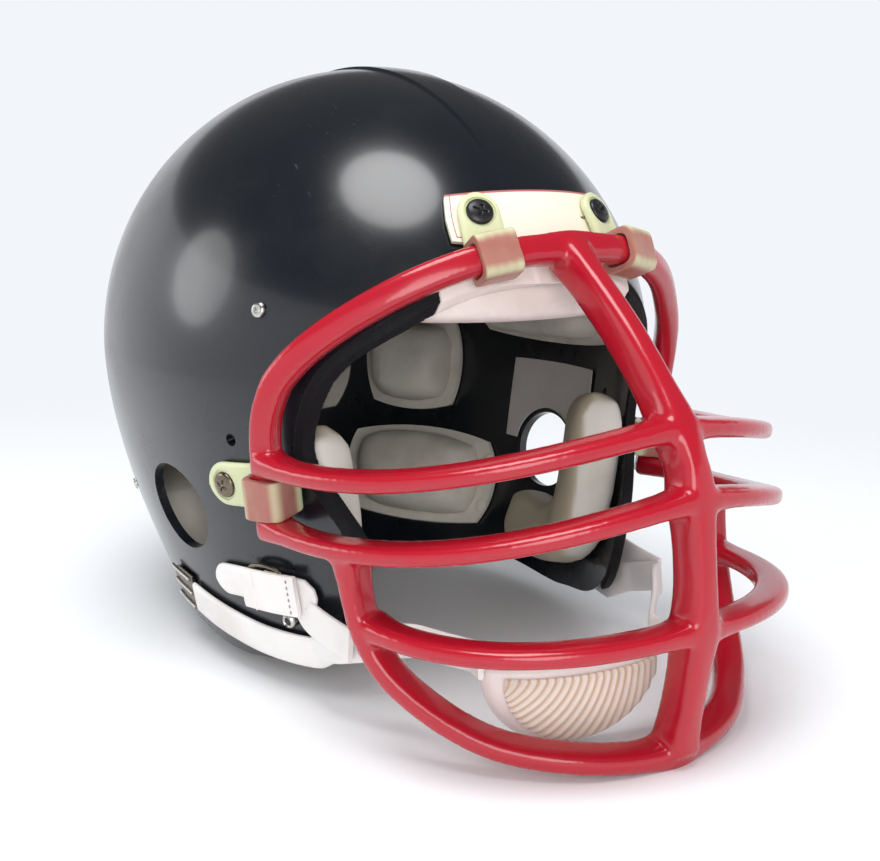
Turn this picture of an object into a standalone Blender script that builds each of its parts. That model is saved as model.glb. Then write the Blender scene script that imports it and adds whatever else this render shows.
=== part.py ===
"""Football helmet: a hard shell with a moulded face mask, a padded liner and a chin strap.

Metres, +Z up, the wearer looks along -Y and X = 0 is the plane of symmetry. The helmet
stands on its mask, its back rim and its chin cup, with the floor at Z = 0.
"""
import bpy
import bmesh
import math
from mathutils import Matrix, Vector

# Shell: a rounded body whose plan narrows towards the crown and the neck
SHELL_HALF_WIDTH = 0.112
SHELL_HALF_LENGTH = 0.1423
SHELL_CROWN = 0.1234
SHELL_DROP = 0.1804
SIDE_DROP = 0.390
WIDEST_HEIGHT = 0.1251
SHELL_WALL = 0.004
SHELL_TILT = math.radians(1.5)
PLAN_POWER = 2.1
CROWN_POWER = 2.0
DROP_POWER = 1.73
SIDE_POWER = 1.2
SIDE_FADE_END = 125.0
SIDE_FADE_SPAN = 50.0
SHELL_SEGMENTS = 42
SHELL_RINGS = 26
SKIRT_SHARE = 0.78
RIDGE_WIDTH = 0.020
RIDGE_RISE = 0.001
RIDGE_STEP = 0.0009

# Clearances shared by every fit
FIT_GAP = 0.0003
SOFT_GAP = 0.0009
CLIP_GAP = 0.0006
OVERRUN = 0.03

# Openings in the shell
EAR_HOLE_HALF_LENGTH = 0.0215
EAR_HOLE_HALF_HEIGHT = 0.0183
EAR_HOLE_PLACE = (84.5, -0.328)
EAR_HOLE_LEAN = math.radians(12)
VENT_RADIUS = 0.0025
VENT_PLACE = (65.4, -0.136)

# Side view of the cut edge, from the brow round the jaw flap to the neck:
# shares of the half length behind the shell's centre, and of the shell's height
FACE_EDGE_SHARES = (
    (-1.30, 0.672), (-0.99, 0.672), (-0.90, 0.661), (-0.815, 0.603), (-0.71, 0.537),
    (-0.648, 0.455), (-0.638, 0.388), (-0.695, 0.322), (-0.738, 0.262), (-0.722, 0.190),
    (-0.668, 0.106), (-0.55, 0.054), (-0.40, 0.036), (-0.25, 0.029), (0.08, 0.043),
    (0.30, 0.030), (0.46, 0.004), (0.60, 0.000), (1.30, 0.000),
)
EDGE_STEPS = 4
TRIM_SPAN_SHARES = (0.055, 0.60)
TRIM_HEIGHT = 0.0034

# Front plate on the brow
PLATE_AZIMUTH = 21.3
PLATE_RISE_SHARES = (0.385, 0.545)
PLATE_SAG_SHARE = 0.014
PLATE_THICK = 0.002
PLATE_CORNER_SHARE = 0.05
PLATE_LIFT = RIDGE_RISE + FIT_GAP

# Face mask bars: height and depth of each section
BAR_HEIGHT = 0.007
BAR_DEPTH = 0.013
BROW_BAR_HEIGHT = 0.011
BROW_BAR_DEPTH = 0.010
LOOP_BAR_HEIGHT = 0.008
LOOP_BAR_DEPTH = 0.0125
KEEL_BAR_WIDTH = 0.0105
KEEL_BAR_DEPTH = 0.015
BAR_SECTION_POINTS = 8
BAR_SECTION_POWER = 3.2
MASK_REACH = 0.2195
UPPER_BAR_REACH = 0.9043 * MASK_REACH
MIDDLE_BAR_REACH = 0.9499 * MASK_REACH
LOWER_BAR_REACH = 0.9658 * MASK_REACH
CLIP_WALL = 0.0023

# Places on the skin where the mask is clipped, then where each clip is screwed down
TOP_CLIP_AZIMUTH = 14.9
TOP_CLIP_RISE_SHARES = (0.333, 0.468)
SIDE_CLIP_AZIMUTHS = (54.7, 67.2)
SIDE_CLIP_RISE_SHARES = (-0.221, -0.232)

# The bar at the top clips rests on the clip's wall, which rests on the front plate
TOP_CLIP_BASE = PLATE_LIFT + PLATE_THICK + FIT_GAP
BROW_LIFT = TOP_CLIP_BASE + CLIP_WALL + CLIP_GAP + BROW_BAR_DEPTH / 2

# Brow bar on the shell: azimuth, rise, and share of its full lift
BROW_ROUTE_SHARES = (
    (0.0, 0.352, 0.94), (TOP_CLIP_AZIMUTH, TOP_CLIP_RISE_SHARES[0], 1.0), (27.0, 0.280, 0.93),
    (38.6, 0.190, 0.78), (47.5, 0.080, 0.86), (53.0, -0.044, 0.95), (54.4, -0.150, 1.0),
    (SIDE_CLIP_AZIMUTHS[0], SIDE_CLIP_RISE_SHARES[0], 1.0), (55.2, -0.310, 1.0),
)
UPPER_BAR_END = (54.3, -0.153)
MIDDLE_BAR_END = (55.2, -0.288)
# Heights of the bars on the centre line, as shares of the shell's height
UPPER_BAR_SHARE = 0.4785
MIDDLE_BAR_SHARE = 0.388
LOWER_BAR_SHARE = 0.207
BAR_PLAN_POWER = 2.3
BAR_RISE_POWER = 1.6
# Chin loop: shares of the half width, of the mask's reach and of the shell's height
LOOP_ROUTE_SHARES = (
    (0.799, 0.613, 0.286), (0.777, 0.640, 0.177), (0.705, 0.697, 0.0986),
    (0.535, 0.803, 0.034), (0.290, 0.898, 0.012), (0.0, 0.929, 0.002),
)
LOWER_BAR_SHARES = (0.757, 0.628, 0.194)
LOOP_FLAT_SHARE = 0.3
MASK_STEPS = 3
# Centre line of the keel bar from the brow to the chin, as shares of reach and height
KEEL_ROUTE_SHARES = (
    (0.641, 0.704), (0.790, 0.5915), (0.910, 0.467), (0.947, 0.378), (0.9655, 0.209),
    (0.936, 0.024),
)

# Clips that hold the mask
TOP_CLIP_WIDTH = 0.015
SIDE_CLIP_WIDTH = 0.0155
TAB_THICK = 0.0036
TOP_TAB_WIDTH = 0.0165
SIDE_TAB_WIDTH = 0.018
CLIP_POWER = 5.0
TAB_STEPS = 8

# Screws and their nuts
SCREW_RADIUS = 0.0023
SCREW_HEAD_RADIUS = 0.0052
SCREW_HEAD_HEIGHT = 0.0022
NUT_RADIUS = 0.0056
NUT_THICK = 0.0022
NUT_SIDES = 6
# A flat nut bridges the hollow of the wall, so it sits a little off it
NUT_SEAT = SHELL_WALL + SOFT_GAP
LINER_SCREW_PLACE = (57.5, 0.210)
LINER_SCREW_RADIUS = 0.0030
REAR_RIVET_PLACE = (112.0, -0.345)
LINER_SCREW_HEIGHT = 0.0014
RIVET_RADIUS = 0.0026
RIVET_HEIGHT = 0.0010
STEM_SHARE = 0.5
ROUND_SIDES = 12

# Liner pads: azimuths and rises of their edges, and their thickness
PAD_THICK = 0.024
PAD_FLANGE = 0.0022
PAD_FLANGE_SHARE = 0.86
PAD_CROWN_SHARE = 0.16
PAD_EDGE_POWER = 6.0
PAD_CORNER_SHARE = 0.28
PAD_GRID_SHARES = (-1.0, -0.86, -0.78, -0.36, 0.36, 0.78, 0.86, 1.0)
BROW_PAD_EDGES = (-61.0, 61.0, 0.185, 0.40)
BROW_PAD_THICK = 0.020
BROW_PAD_FLANGE_SHARE = 0.999
SIDE_PAD_EDGES = (63.0, 108.0, -0.03, 0.22)
REAR_SIDE_PAD_EDGES = (113.0, 141.0, -0.275, 0.03)
BACK_PAD_EDGES = (146.0, 214.0, -0.30, 0.03)
NECK_PAD_EDGES = (98.0, 148.0, -0.600, -0.325)
CROWN_FRONT_PAD = (0.0, -0.066, 0.044, 0.024)
CROWN_REAR_PAD = (0.0, 0.066, 0.044, 0.030)
CROWN_SIDE_PAD = (0.041, 0.0, 0.030, 0.032)
PAD_RIVET_RADIUS = 0.0035
PAD_RIVET_TIP_SHARE = 0.8
PAD_RIVET_HEIGHT = 0.0012
PAD_RIVET_SHARES = ((-0.93, -0.55), (-0.93, 0.55))

# Jaw pads: centre line in side view as shares of half length and height
JAW_ROUTE_SHARES = (
    (-0.600, 0.425), (-0.612, 0.330), (-0.606, 0.245), (-0.560, 0.175), (-0.440, 0.138),
    (-0.290, 0.130), (-0.130, 0.142),
)
JAW_PAD_WIDTH = 0.029
JAW_PAD_THICK = 0.024
JAW_SECTION_POWER = 3.0
JAW_END_SHARES = (0.30, 0.80, 0.97)
JAW_STEPS = 3

# Bare tag on the left inner wall: azimuths and rises of its edges
TAG_EDGES = (71.0, 97.0, -0.315, -0.085)
TAG_THICK = 0.0005
TAG_STEPS = 6
EAR_HOLE_TAG_MARGIN = 0.002

# Chin strap on the flaps: azimuth, rise
STRAP_WIDTH = 0.0145
STRAP_THICK = 0.0022
REAR_STRAP_ROUTE_SHARES = ((85.5, -0.556), (78.0, -0.575), (68.0, -0.594), (60.0, -0.599), (54.5, -0.597))
FRONT_STRAP_ROUTE_SHARES = ((63.0, -0.460), (58.5, -0.460), (55.0, -0.465))
FRONT_TAB_ROUTE_SHARES = ((75.5, -0.470), (70.0, -0.464), (63.6, -0.462))
HOOK_ROUTE_SHARES = ((94.5, -0.535), (86.2, -0.555))
HOOK_WIDTH = 0.018
HOOK_THICK = 0.0016
KEEPER_ROUTE_SHARES = ((67.0, -0.462), (60.5, -0.462), (55.2, -0.460))
KEEPER_WIDTH = 0.0175
KEEPER_THICK = 0.0024
SNAP_PLACE = (59.5, -0.533)
SNAP_RADIUS = 0.0034
SNAP_TIP_SHARE = 0.6
SNAP_EDGE_SHARE = 0.5
SNAP_HEIGHT = 0.0028
FRONT_WIDTH_SHARE = 0.94
ROUTE_STEPS = 4
STRIP_STEPS = 9
ROUND_END_SHARES = ((0.0, 0.22), (0.12, 0.475), (0.4, 0.8), (1.0, 1.0))

# Swinging part of the chin strap: a cup on two straps that turn where the fixed straps meet
PIVOT_REACH = 0.7976 * SHELL_HALF_LENGTH
PIVOT_HALF_SPAN = 0.6741 * SHELL_HALF_WIDTH
PIVOT_HEIGHT = 0.2398 * WIDEST_HEIGHT
PIVOT_GAP = 0.0004
CHIN_STRAP_WIDTH = 0.012
CHIN_STRAP_THICK = 0.0022
# Front legs of the fixed straps: shares of the shell's half width, half length and widest height
FRONT_LEG_SHARES = ((0.716, 0.6185, 0.292), (0.707, 0.7034, 0.2682))
REAR_STRAP_SLOPE = 0.33
REAR_LEAD_SHARES = (2.1, 1.15, 0, -1)
CUP_REACH = 0.7875 * MASK_REACH
CUP_HEIGHT = 0.0332
CUP_SIDE_SHIFT = -0.183 * SHELL_HALF_WIDTH
CUP_HALF_WIDTH = 0.3185 * SHELL_HALF_WIDTH
CUP_DROP = 0.0315
CUP_UPPER_SHARE = 0.17
CUP_DEPTH = 0.0142
CUP_WALL = 0.0030
CUP_YAW = math.radians(-12)
CUP_LAP = 0.003
CUP_LAP_LIFT = 0.004
STRAP_LEADS = ((0.08, 0, 0.0004), (0.2, 0.001, 0.0018), (0.45, 0.001, 0.0030), (0.75, 0, 0.0016))
CUP_SEGMENTS = 24
CUP_RINGS = 12
CUP_COVER_THICK = 0.0016
CUP_COVER_SHARE = 0.86
CUP_COVER_STEPS = 10
CUP_COVER_TOP = -0.02
CUP_COVER_TURN = math.radians(80)

# The origin is under the middle of the whole object, so the shell's centre sits behind it
SHELL_LENGTH_BEHIND = SHELL_HALF_LENGTH + RIDGE_RISE
SHELL_CENTRE_Y = (MASK_REACH - SHELL_LENGTH_BEHIND) / 2
SHELL_HEIGHT = WIDEST_HEIGHT + SHELL_CROWN


def reset_scene():
    """Start from an empty file."""
    for thing in list(bpy.data.objects):
        bpy.data.objects.remove(thing, do_unlink=True)
    for group in list(bpy.data.collections):
        bpy.data.collections.remove(group)


def new_collection(name):
    group = bpy.data.collections.new(name)
    bpy.context.scene.collection.children.link(group)
    return group


reset_scene()
PARTS = new_collection("football_helmet")
CUTTERS = new_collection("cutters")


def material(name, color, roughness, metallic=0.0):
    """A plain Principled finish."""
    finish = bpy.data.materials.new(name)
    finish.use_nodes = True
    shader = finish.node_tree.nodes["Principled BSDF"]
    shader.inputs["Base Color"].default_value = (*color, 1.0)
    shader.inputs["Roughness"].default_value = roughness
    shader.inputs["Metallic"].default_value = metallic
    return finish


def add_part(name, bm, finish):
    """Turn a bmesh into a part with outward faces and smooth shading."""
    bmesh.ops.remove_doubles(bm, verts=bm.verts, dist=FIT_GAP / 30)
    bmesh.ops.recalc_face_normals(bm, faces=bm.faces)
    mesh = bpy.data.meshes.new(name)
    bm.to_mesh(mesh)
    bm.free()
    mesh.shade_smooth()
    mesh.set_sharp_from_angle(angle=math.radians(35))
    thing = bpy.data.objects.new(name, mesh)
    if finish:
        thing.data.materials.append(finish)
    PARTS.objects.link(thing)
    return thing


def as_cutter(thing):
    """Keep an object as a hidden guide for the Booleans."""
    for group in list(thing.users_collection):
        group.objects.unlink(thing)
    CUTTERS.objects.link(thing)
    thing.hide_render = True
    thing.display_type = "WIRE"
    return thing


def combine(thing, other, operation):
    """Cut, join or intersect one object with another."""
    step = thing.modifiers.new(operation.lower(), "BOOLEAN")
    step.operation = operation
    step.object = as_cutter(other)
    step.solver = "EXACT"
    return thing


def smooth_step(value):
    value = min(1.0, max(0.0, value))
    return value * value * (3 - 2 * value)


def smooth_path(points, steps):
    """Catmull-Rom curve through points of any size."""
    path = []
    last = len(points) - 1
    for index in range(last):
        before = points[max(index - 1, 0)]
        start = points[index]
        end = points[index + 1]
        after = points[min(index + 2, last)]
        for step in range(steps):
            t = step / steps
            path.append(tuple(
                0.5 * (2 * b + (c - a) * t + (2 * a - 5 * b + 4 * c - d) * t ** 2
                       + (3 * b - a - 3 * c + d) * t ** 3)
                for a, b, c, d in zip(before, start, end, after)))
    path.append(tuple(points[last]))
    return path


def signed_power(value, power):
    return math.copysign(abs(value) ** power, value)


def plain_skin(azimuth, rise):
    """Point of the outer skin about the shell's own centre.

    The azimuth runs in degrees from the brow, 0, over the ear, 90, to the neck, 180.
    The rise is a share of the crown above the widest level, or of the drop below it.
    """
    angle = math.radians(azimuth)
    across = signed_power(math.sin(angle), 2 / PLAN_POWER)
    ahead = signed_power(math.cos(angle), 2 / PLAN_POWER)
    if rise >= 0:
        width_share = length_share = (1 - rise ** CROWN_POWER) ** (1 / CROWN_POWER)
        height = rise * SHELL_CROWN
    else:
        height = rise * SHELL_DROP
        neck_share = (1 - (-rise) ** DROP_POWER) ** (1 / DROP_POWER)
        side_share = (1 - (-height / SIDE_DROP) ** SIDE_POWER) ** (1 / SIDE_POWER)
        to_side = smooth_step((SIDE_FADE_END - abs(azimuth)) / SIDE_FADE_SPAN)
        width_share = neck_share + (side_share - neck_share) * to_side
        length_share = 1.0 if ahead > 0 else neck_share
    return Vector((SHELL_HALF_WIDTH * width_share * across,
                   -SHELL_HALF_LENGTH * length_share * ahead, height))


def skin_normal(azimuth, rise):
    """Outward direction of the skin."""
    nudge = 0.02
    share_nudge = 0.0002
    rise = min(rise, 1 - 2 * share_nudge)
    along = plain_skin(azimuth + nudge, rise) - plain_skin(azimuth - nudge, rise)
    up = plain_skin(azimuth, rise + share_nudge) - plain_skin(azimuth, rise - share_nudge)
    normal = along.cross(up).normalized()
    return normal if normal.dot(plain_skin(azimuth, rise)) > 0 else -normal


TILT = Matrix.Rotation(-SHELL_TILT, 4, "X")
TO_WORLD = Matrix.Translation((0, SHELL_CENTRE_Y, WIDEST_HEIGHT)) @ TILT


def skin(azimuth, rise, lift=0.0):
    """World point at a height over the outer skin, on the +X side."""
    point = plain_skin(azimuth, rise)
    return TO_WORLD @ (point + skin_normal(azimuth, rise) * lift)


def skin_frame(azimuth, rise, side, up_turn=0.0):
    """Frame on the skin: X along the level line, Y up the skin, Z out of it."""
    normal = TILT.to_3x3() @ skin_normal(azimuth, rise)
    normal.x *= side
    level = Vector((0, 0, 1)).cross(normal).normalized()
    up = normal.cross(level)
    origin = skin(azimuth, rise)
    origin.x *= side
    frame = Matrix((level, up, normal)).transposed().to_4x4()
    return Matrix.Translation(origin) @ frame @ Matrix.Rotation(up_turn, 4, "Z")


def skin_angles(x_share, y_share, z_share):
    """Azimuth and rise of the skin point that lies in a direction from the centre."""
    plan = (abs(x_share) ** PLAN_POWER + abs(y_share) ** PLAN_POWER) ** (1 / PLAN_POWER)
    power = CROWN_POWER if z_share >= 0 else DROP_POWER
    size = (plan ** power + abs(z_share) ** power) ** (1 / power)
    azimuth = math.degrees(math.atan2(signed_power(x_share, PLAN_POWER / 2),
                                      signed_power(-y_share, PLAN_POWER / 2)))
    return azimuth, max(-1.0, min(1.0, z_share / size))


def skin_over(x, y, lift):
    """World point over the crown, above a place in the shell's own plan."""
    x_share = x / SHELL_HALF_WIDTH
    y_share = y / SHELL_HALF_LENGTH
    plan = (abs(x_share) ** PLAN_POWER + abs(y_share) ** PLAN_POWER) ** (1 / PLAN_POWER)
    rise = (1 - plan ** CROWN_POWER) ** (1 / CROWN_POWER)
    azimuth = skin_angles(x_share, y_share, rise)[0]
    return skin(azimuth, rise, lift)


def side_place(y, z):
    """Azimuth and rise of the skin at a place in side view."""
    azimuth, rise = 70.0, -0.4
    rise_step = 0.01
    for _ in range(12):
        here = skin(azimuth, rise)
        back = skin(azimuth + 1, rise) - here
        raised = skin(azimuth, rise + rise_step) - here
        det = back.y * raised.z - back.z * raised.y
        dy, dz = y - here.y, z - here.z
        azimuth += (dy * raised.z - dz * raised.y) / det
        rise += rise_step * (back.y * dz - back.z * dy) / det
    return azimuth, rise


def prism(name, outlines, half_depth, matrix):
    """Flat outlines drawn in XY, an inner one being a hole, given a depth to both sides."""
    curve = bpy.data.curves.new(name, "CURVE")
    curve.dimensions = "2D"
    curve.fill_mode = "BOTH"
    curve.extrude = half_depth
    for outline in outlines:
        spline = curve.splines.new("POLY")
        spline.points.add(len(outline) - 1)
        for point, place in zip(spline.points, outline):
            point.co = (place[0], place[1], 0, 1)
        spline.use_cyclic_u = True
    return solid_of_curve(name, curve, matrix)


def solid_of_curve(name, curve, matrix):
    """Make a curve a closed mesh object in its place."""
    guide = bpy.data.objects.new(name, curve)
    CUTTERS.objects.link(guide)
    bpy.context.view_layer.update()
    graph = bpy.context.evaluated_depsgraph_get()
    mesh = bpy.data.meshes.new_from_object(guide.evaluated_get(graph))
    bpy.data.objects.remove(guide, do_unlink=True)
    bm = bmesh.new()
    bm.from_mesh(mesh)
    bmesh.ops.remove_doubles(bm, verts=bm.verts, dist=FIT_GAP / 30)
    bmesh.ops.recalc_face_normals(bm, faces=bm.faces)
    bm.transform(matrix)
    bm.to_mesh(mesh)
    bm.free()
    thing = bpy.data.objects.new(name, mesh)
    PARTS.objects.link(thing)
    return thing


def disc(name, frame, radius, low, high, sides=ROUND_SIDES):
    """A round cutter or blank between two heights on a frame's Z axis."""
    bm = bmesh.new()
    middle = Matrix.Translation((0, 0, (low + high) / 2))
    bmesh.ops.create_cone(bm, cap_ends=True, segments=sides, radius1=radius, radius2=radius,
                          depth=high - low, matrix=frame @ middle)
    return add_part(name, bm, None)


def turned(name, frame, profile, finish, sides=ROUND_SIDES):
    """Spin a profile of radii and heights about a frame's Z axis."""
    bm = bmesh.new()
    verts = [bm.verts.new((radius, 0, height)) for radius, height in profile]
    edges = [bm.edges.new(pair) for pair in zip(verts, verts[1:])]
    bmesh.ops.spin(bm, geom=verts + edges, cent=(0, 0, 0), axis=(0, 0, 1),
                   angle=2 * math.pi, steps=sides, use_merge=True)
    bmesh.ops.transform(bm, matrix=frame, verts=bm.verts)
    return add_part(name, bm, finish)


def sheet(name, rows, finish):
    """A closed sheet: each place in the rows holds its lower and its upper point."""
    bm = bmesh.new()
    bmesh.ops.create_grid(bm, x_segments=len(rows) - 1, y_segments=len(rows[0]) - 1, size=1)
    grown = bmesh.ops.extrude_face_region(bm, geom=bm.faces[:])
    for item in grown["geom"]:
        if isinstance(item, bmesh.types.BMVert):
            item.co.z = 1
    for vert in bm.verts:
        row = rows[round((vert.co.x + 1) / 2 * (len(rows) - 1))]
        pair = row[round((vert.co.y + 1) / 2 * (len(row) - 1))]
        vert.co = pair[round(vert.co.z)]
    return add_part(name, bm, finish)


def loft(rings):
    """A bmesh skinned over rings of points, with its ends capped."""
    bm = bmesh.new()
    layers = [[bm.verts.new(point) for point in ring] for ring in rings]
    count = len(layers[0])
    for low, high in zip(layers, layers[1:]):
        for index in range(count):
            after = (index + 1) % count
            bm.faces.new((low[index], low[after], high[after], high[index]))
    bm.faces.new(reversed(layers[0]))
    bm.faces.new(layers[-1])
    return bm


def oval(width, height, power, count):
    """Points of a rounded rectangle about its middle."""
    points = []
    for index in range(count):
        angle = 2 * math.pi * (index + 0.5) / count
        points.append((width / 2 * signed_power(math.cos(angle), 2 / power),
                       height / 2 * signed_power(math.sin(angle), 2 / power)))
    return points


def swept_bar(name, stations, depth, height, finish, power=BAR_SECTION_POWER, scales=None):
    """Sweep a rounded section through stations of a point and an outward direction."""
    section = oval(depth, height, power, BAR_SECTION_POINTS)
    last = len(stations) - 1
    rings = []
    for index, (point, out) in enumerate(stations):
        along = (stations[min(index + 1, last)][0] - stations[max(index - 1, 0)][0]).normalized()
        out = (out - along * out.dot(along)).normalized()
        up = along.cross(out)
        scale = scales[index] if scales else 1.0
        rings.append([point + (out * a + up * b) * scale for a, b in section])
    return add_part(name, loft(rings), finish)


def skin_station(azimuth, rise, side, lift):
    """A point over the skin and the skin's outward direction there."""
    frame = skin_frame(azimuth, rise, side)
    out = frame.col[2].to_3d()
    return frame.translation + out * lift, out


def skin_run(route, side, lift):
    """Smooth stations over the skin through places given as azimuth and rise."""
    return [skin_station(azimuth, rise, side, lift)
            for azimuth, rise in smooth_path(route, ROUTE_STEPS)]


def smooth_run(stations):
    """Smooth stations through a few."""
    path = smooth_path([(*point, *out) for point, out in stations], ROUTE_STEPS)
    return [(Vector(item[:3]), Vector(item[3:]).normalized()) for item in path]


def at_distance(run, distance):
    """Station at a distance along a run."""
    for (here, out), (there, next_out) in zip(run, run[1:]):
        step = (there - here).length
        if distance <= step:
            share = distance / step
            return here.lerp(there, share), out.lerp(next_out, share).normalized()
        distance -= step
    return run[-1]


def run_length(run):
    return sum((there[0] - here[0]).length for here, there in zip(run, run[1:]))


def strip(name, run, width, thick, finish, round_start=False, round_end=False):
    """A flat strip along a run, with square or round ends."""
    radius = width / 2
    length = run_length(run)
    first = [(share * radius, half) for share, half in ROUND_END_SHARES] if round_start else [(0.0, 1.0)]
    last = [(length - share * radius, half) for share, half in reversed(ROUND_END_SHARES)]
    last = last if round_end else [(length, 1.0)]
    span = last[0][0] - first[-1][0]
    middle = [(first[-1][0] + span * step / STRIP_STEPS, 1.0) for step in range(1, STRIP_STEPS)]
    rows = []
    nudge = radius / 20
    for distance, half in first + middle + last:
        point, out = at_distance(run, distance)
        ahead = at_distance(run, min(distance + nudge, length))[0]
        behind = at_distance(run, max(distance - nudge, 0.0))[0]
        across = out.cross(ahead - behind).normalized() * radius * half
        rows.append([(point + across * share, point + across * share + out * thick)
                     for share in (-1, 0, 1)])
    return sheet(name, rows, finish)


def side_name(name, side):
    return name + ("_left" if side > 0 else "_right")


SHELL_FINISH = material("shell_black", (0.012, 0.012, 0.015), 0.18)
TRIM_FINISH = material("trim_rubber", (0.02, 0.02, 0.022), 0.7)
PLATE_FINISH = material("plate_cream", (0.70, 0.62, 0.48), 0.4)
MASK_FINISH = material("mask_red", (0.62, 0.012, 0.02), 0.25)
CLIP_FINISH = material("clip_plastic", (0.55, 0.60, 0.14), 0.3)
BLACK_SCREW_FINISH = material("screw_black", (0.03, 0.03, 0.03), 0.4, 1.0)
STEEL_FINISH = material("screw_steel", (0.60, 0.60, 0.58), 0.3, 1.0)
LINER_FINISH = material("liner_vinyl", (0.50, 0.45, 0.37), 0.6)
BROW_FINISH = material("brow_vinyl", (0.72, 0.62, 0.57), 0.5)
JAW_FINISH = material("jaw_vinyl", (0.68, 0.62, 0.53), 0.55)
TAG_FINISH = material("tag_film", (0.60, 0.55, 0.50), 0.5)
STRAP_FINISH = material("strap_vinyl", (0.80, 0.78, 0.75), 0.5)
CUP_FINISH = material("cup_vinyl", (0.78, 0.68, 0.65), 0.5)
COVER_FINISH = material("cup_cover_vinyl", (0.74, 0.58, 0.44), 0.6)


def edge_path():
    """Cut edge of the shell in side view, from the brow to the neck."""
    bend = smooth_path(FACE_EDGE_SHARES[:-1], EDGE_STEPS) + [FACE_EDGE_SHARES[-1]]
    return [(SHELL_CENTRE_Y + y * SHELL_HALF_LENGTH, z * SHELL_HEIGHT) for y, z in bend]


def across_shell(name, outline):
    """A side-view outline carried right through the shell."""
    to_side_view = Matrix(((0, 0, 1, 0), (1, 0, 0, 0), (0, 1, 0, 0), (0, 0, 0, 1)))
    return prism(name, [outline], SHELL_HALF_WIDTH + OVERRUN, to_side_view)


def open_skin():
    """The outer skin as an open surface with the raised band over its middle."""
    bm = bmesh.new()
    bmesh.ops.create_uvsphere(bm, u_segments=SHELL_SEGMENTS, v_segments=SHELL_RINGS, radius=1,
                              matrix=Matrix.Rotation(math.pi / 2, 4, "Y"))
    low = [face for face in bm.faces if max(v.co.z for v in face.verts) < -SKIRT_SHARE]
    bmesh.ops.delete(bm, geom=low, context="FACES")
    for vert in bm.verts:
        azimuth, rise = skin_angles(*vert.co)
        vert.co = plain_skin(azimuth, rise)
    inner = RIDGE_WIDTH / 2 - RIDGE_STEP
    for place in (-RIDGE_WIDTH / 2, -inner, inner, RIDGE_WIDTH / 2):
        bmesh.ops.bisect_plane(bm, geom=bm.verts[:] + bm.edges[:] + bm.faces[:],
                               plane_co=(place, 0, 0), plane_no=(1, 0, 0))
    bm.normal_update()
    raised = [vert for vert in bm.verts if abs(vert.co.x) < inner + RIDGE_STEP / 2]
    moves = [vert.normal * RIDGE_RISE for vert in raised]
    for vert, move in zip(raised, moves):
        vert.co += move
    bm.transform(TO_WORLD)
    return bm


def thicken(thing, wall):
    """Give an open surface a wall on its inner side."""
    step = thing.modifiers.new("wall", "SOLIDIFY")
    step.thickness = wall
    step.offset = -1.0
    step.use_even_offset = True


def ear_hole(name, side, clearance):
    """Oval cutter through the wall over the ear."""
    frame = skin_frame(*EAR_HOLE_PLACE, side, side * EAR_HOLE_LEAN)
    half_height = EAR_HOLE_HALF_HEIGHT + clearance
    stretch = (EAR_HOLE_HALF_LENGTH + clearance) / half_height
    return disc(name, frame @ Matrix.Diagonal((stretch, 1, 1, 1)), half_height,
                -SHELL_WALL - OVERRUN / 2, OVERRUN / 2, 2 * ROUND_SIDES)


def bore(name, place, side, radius):
    """Round cutter through the wall at a place on the skin."""
    return disc(name, skin_frame(*place, side), radius, -SHELL_WALL - OVERRUN / 2, OVERRUN / 2)


TOP_SCREW_PLACE = (TOP_CLIP_AZIMUTH, TOP_CLIP_RISE_SHARES[1])
SIDE_SCREW_PLACE = (SIDE_CLIP_AZIMUTHS[1], SIDE_CLIP_RISE_SHARES[1])
SHELL_BORES = {
    "vent": (VENT_PLACE, VENT_RADIUS),
    "top_bore": (TOP_SCREW_PLACE, SCREW_RADIUS + FIT_GAP),
    "side_bore": (SIDE_SCREW_PLACE, SCREW_RADIUS + FIT_GAP),
    "liner_bore": (LINER_SCREW_PLACE, LINER_SCREW_RADIUS * STEM_SHARE + FIT_GAP),
    "rear_bore": (REAR_RIVET_PLACE, RIVET_RADIUS * STEM_SHARE + FIT_GAP),
}


def build_shell():
    shell = add_part("shell", open_skin(), SHELL_FINISH)
    thicken(shell, SHELL_WALL)
    path = edge_path()
    floor = -SHELL_DROP
    outline = path + [(path[-1][0], floor), (path[0][0], floor)]
    combine(shell, across_shell("face_opening", outline), "DIFFERENCE")
    for side in (-1, 1):
        combine(shell, ear_hole(side_name("ear_cut", side), side, 0.0), "DIFFERENCE")
        for name, (place, radius) in SHELL_BORES.items():
            combine(shell, bore(side_name(name, side), place, side, radius), "DIFFERENCE")
    return shell


def build_edge_trim():
    """Rubber bead on the cut edge, from one jaw flap over the brow to the other."""
    path = edge_path()
    first = round(TRIM_SPAN_SHARES[0] * len(path))
    last = round(TRIM_SPAN_SHARES[1] * len(path))
    near, far = [], []
    for index in range(first, last + 1):
        (y0, z0), (y1, z1) = path[index - 1], path[index + 1]
        length = math.hypot(y1 - y0, z1 - z0)
        turn_y, turn_z = (z1 - z0) / length, (y0 - y1) / length
        y, z = path[index]
        near.append((y + turn_y * FIT_GAP, z + turn_z * FIT_GAP))
        reach = FIT_GAP + TRIM_HEIGHT
        far.append((y + turn_y * reach, z + turn_z * reach))
    trim = add_part("edge_trim", open_skin(), TRIM_FINISH)
    thicken(trim, SHELL_WALL)
    combine(trim, across_shell("trim_band", near + far[::-1]), "INTERSECT")
    return trim


def corner_rounded(u, v, share):
    return u * math.sqrt(1 - share * v * v), v * math.sqrt(1 - share * u * u)


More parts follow.
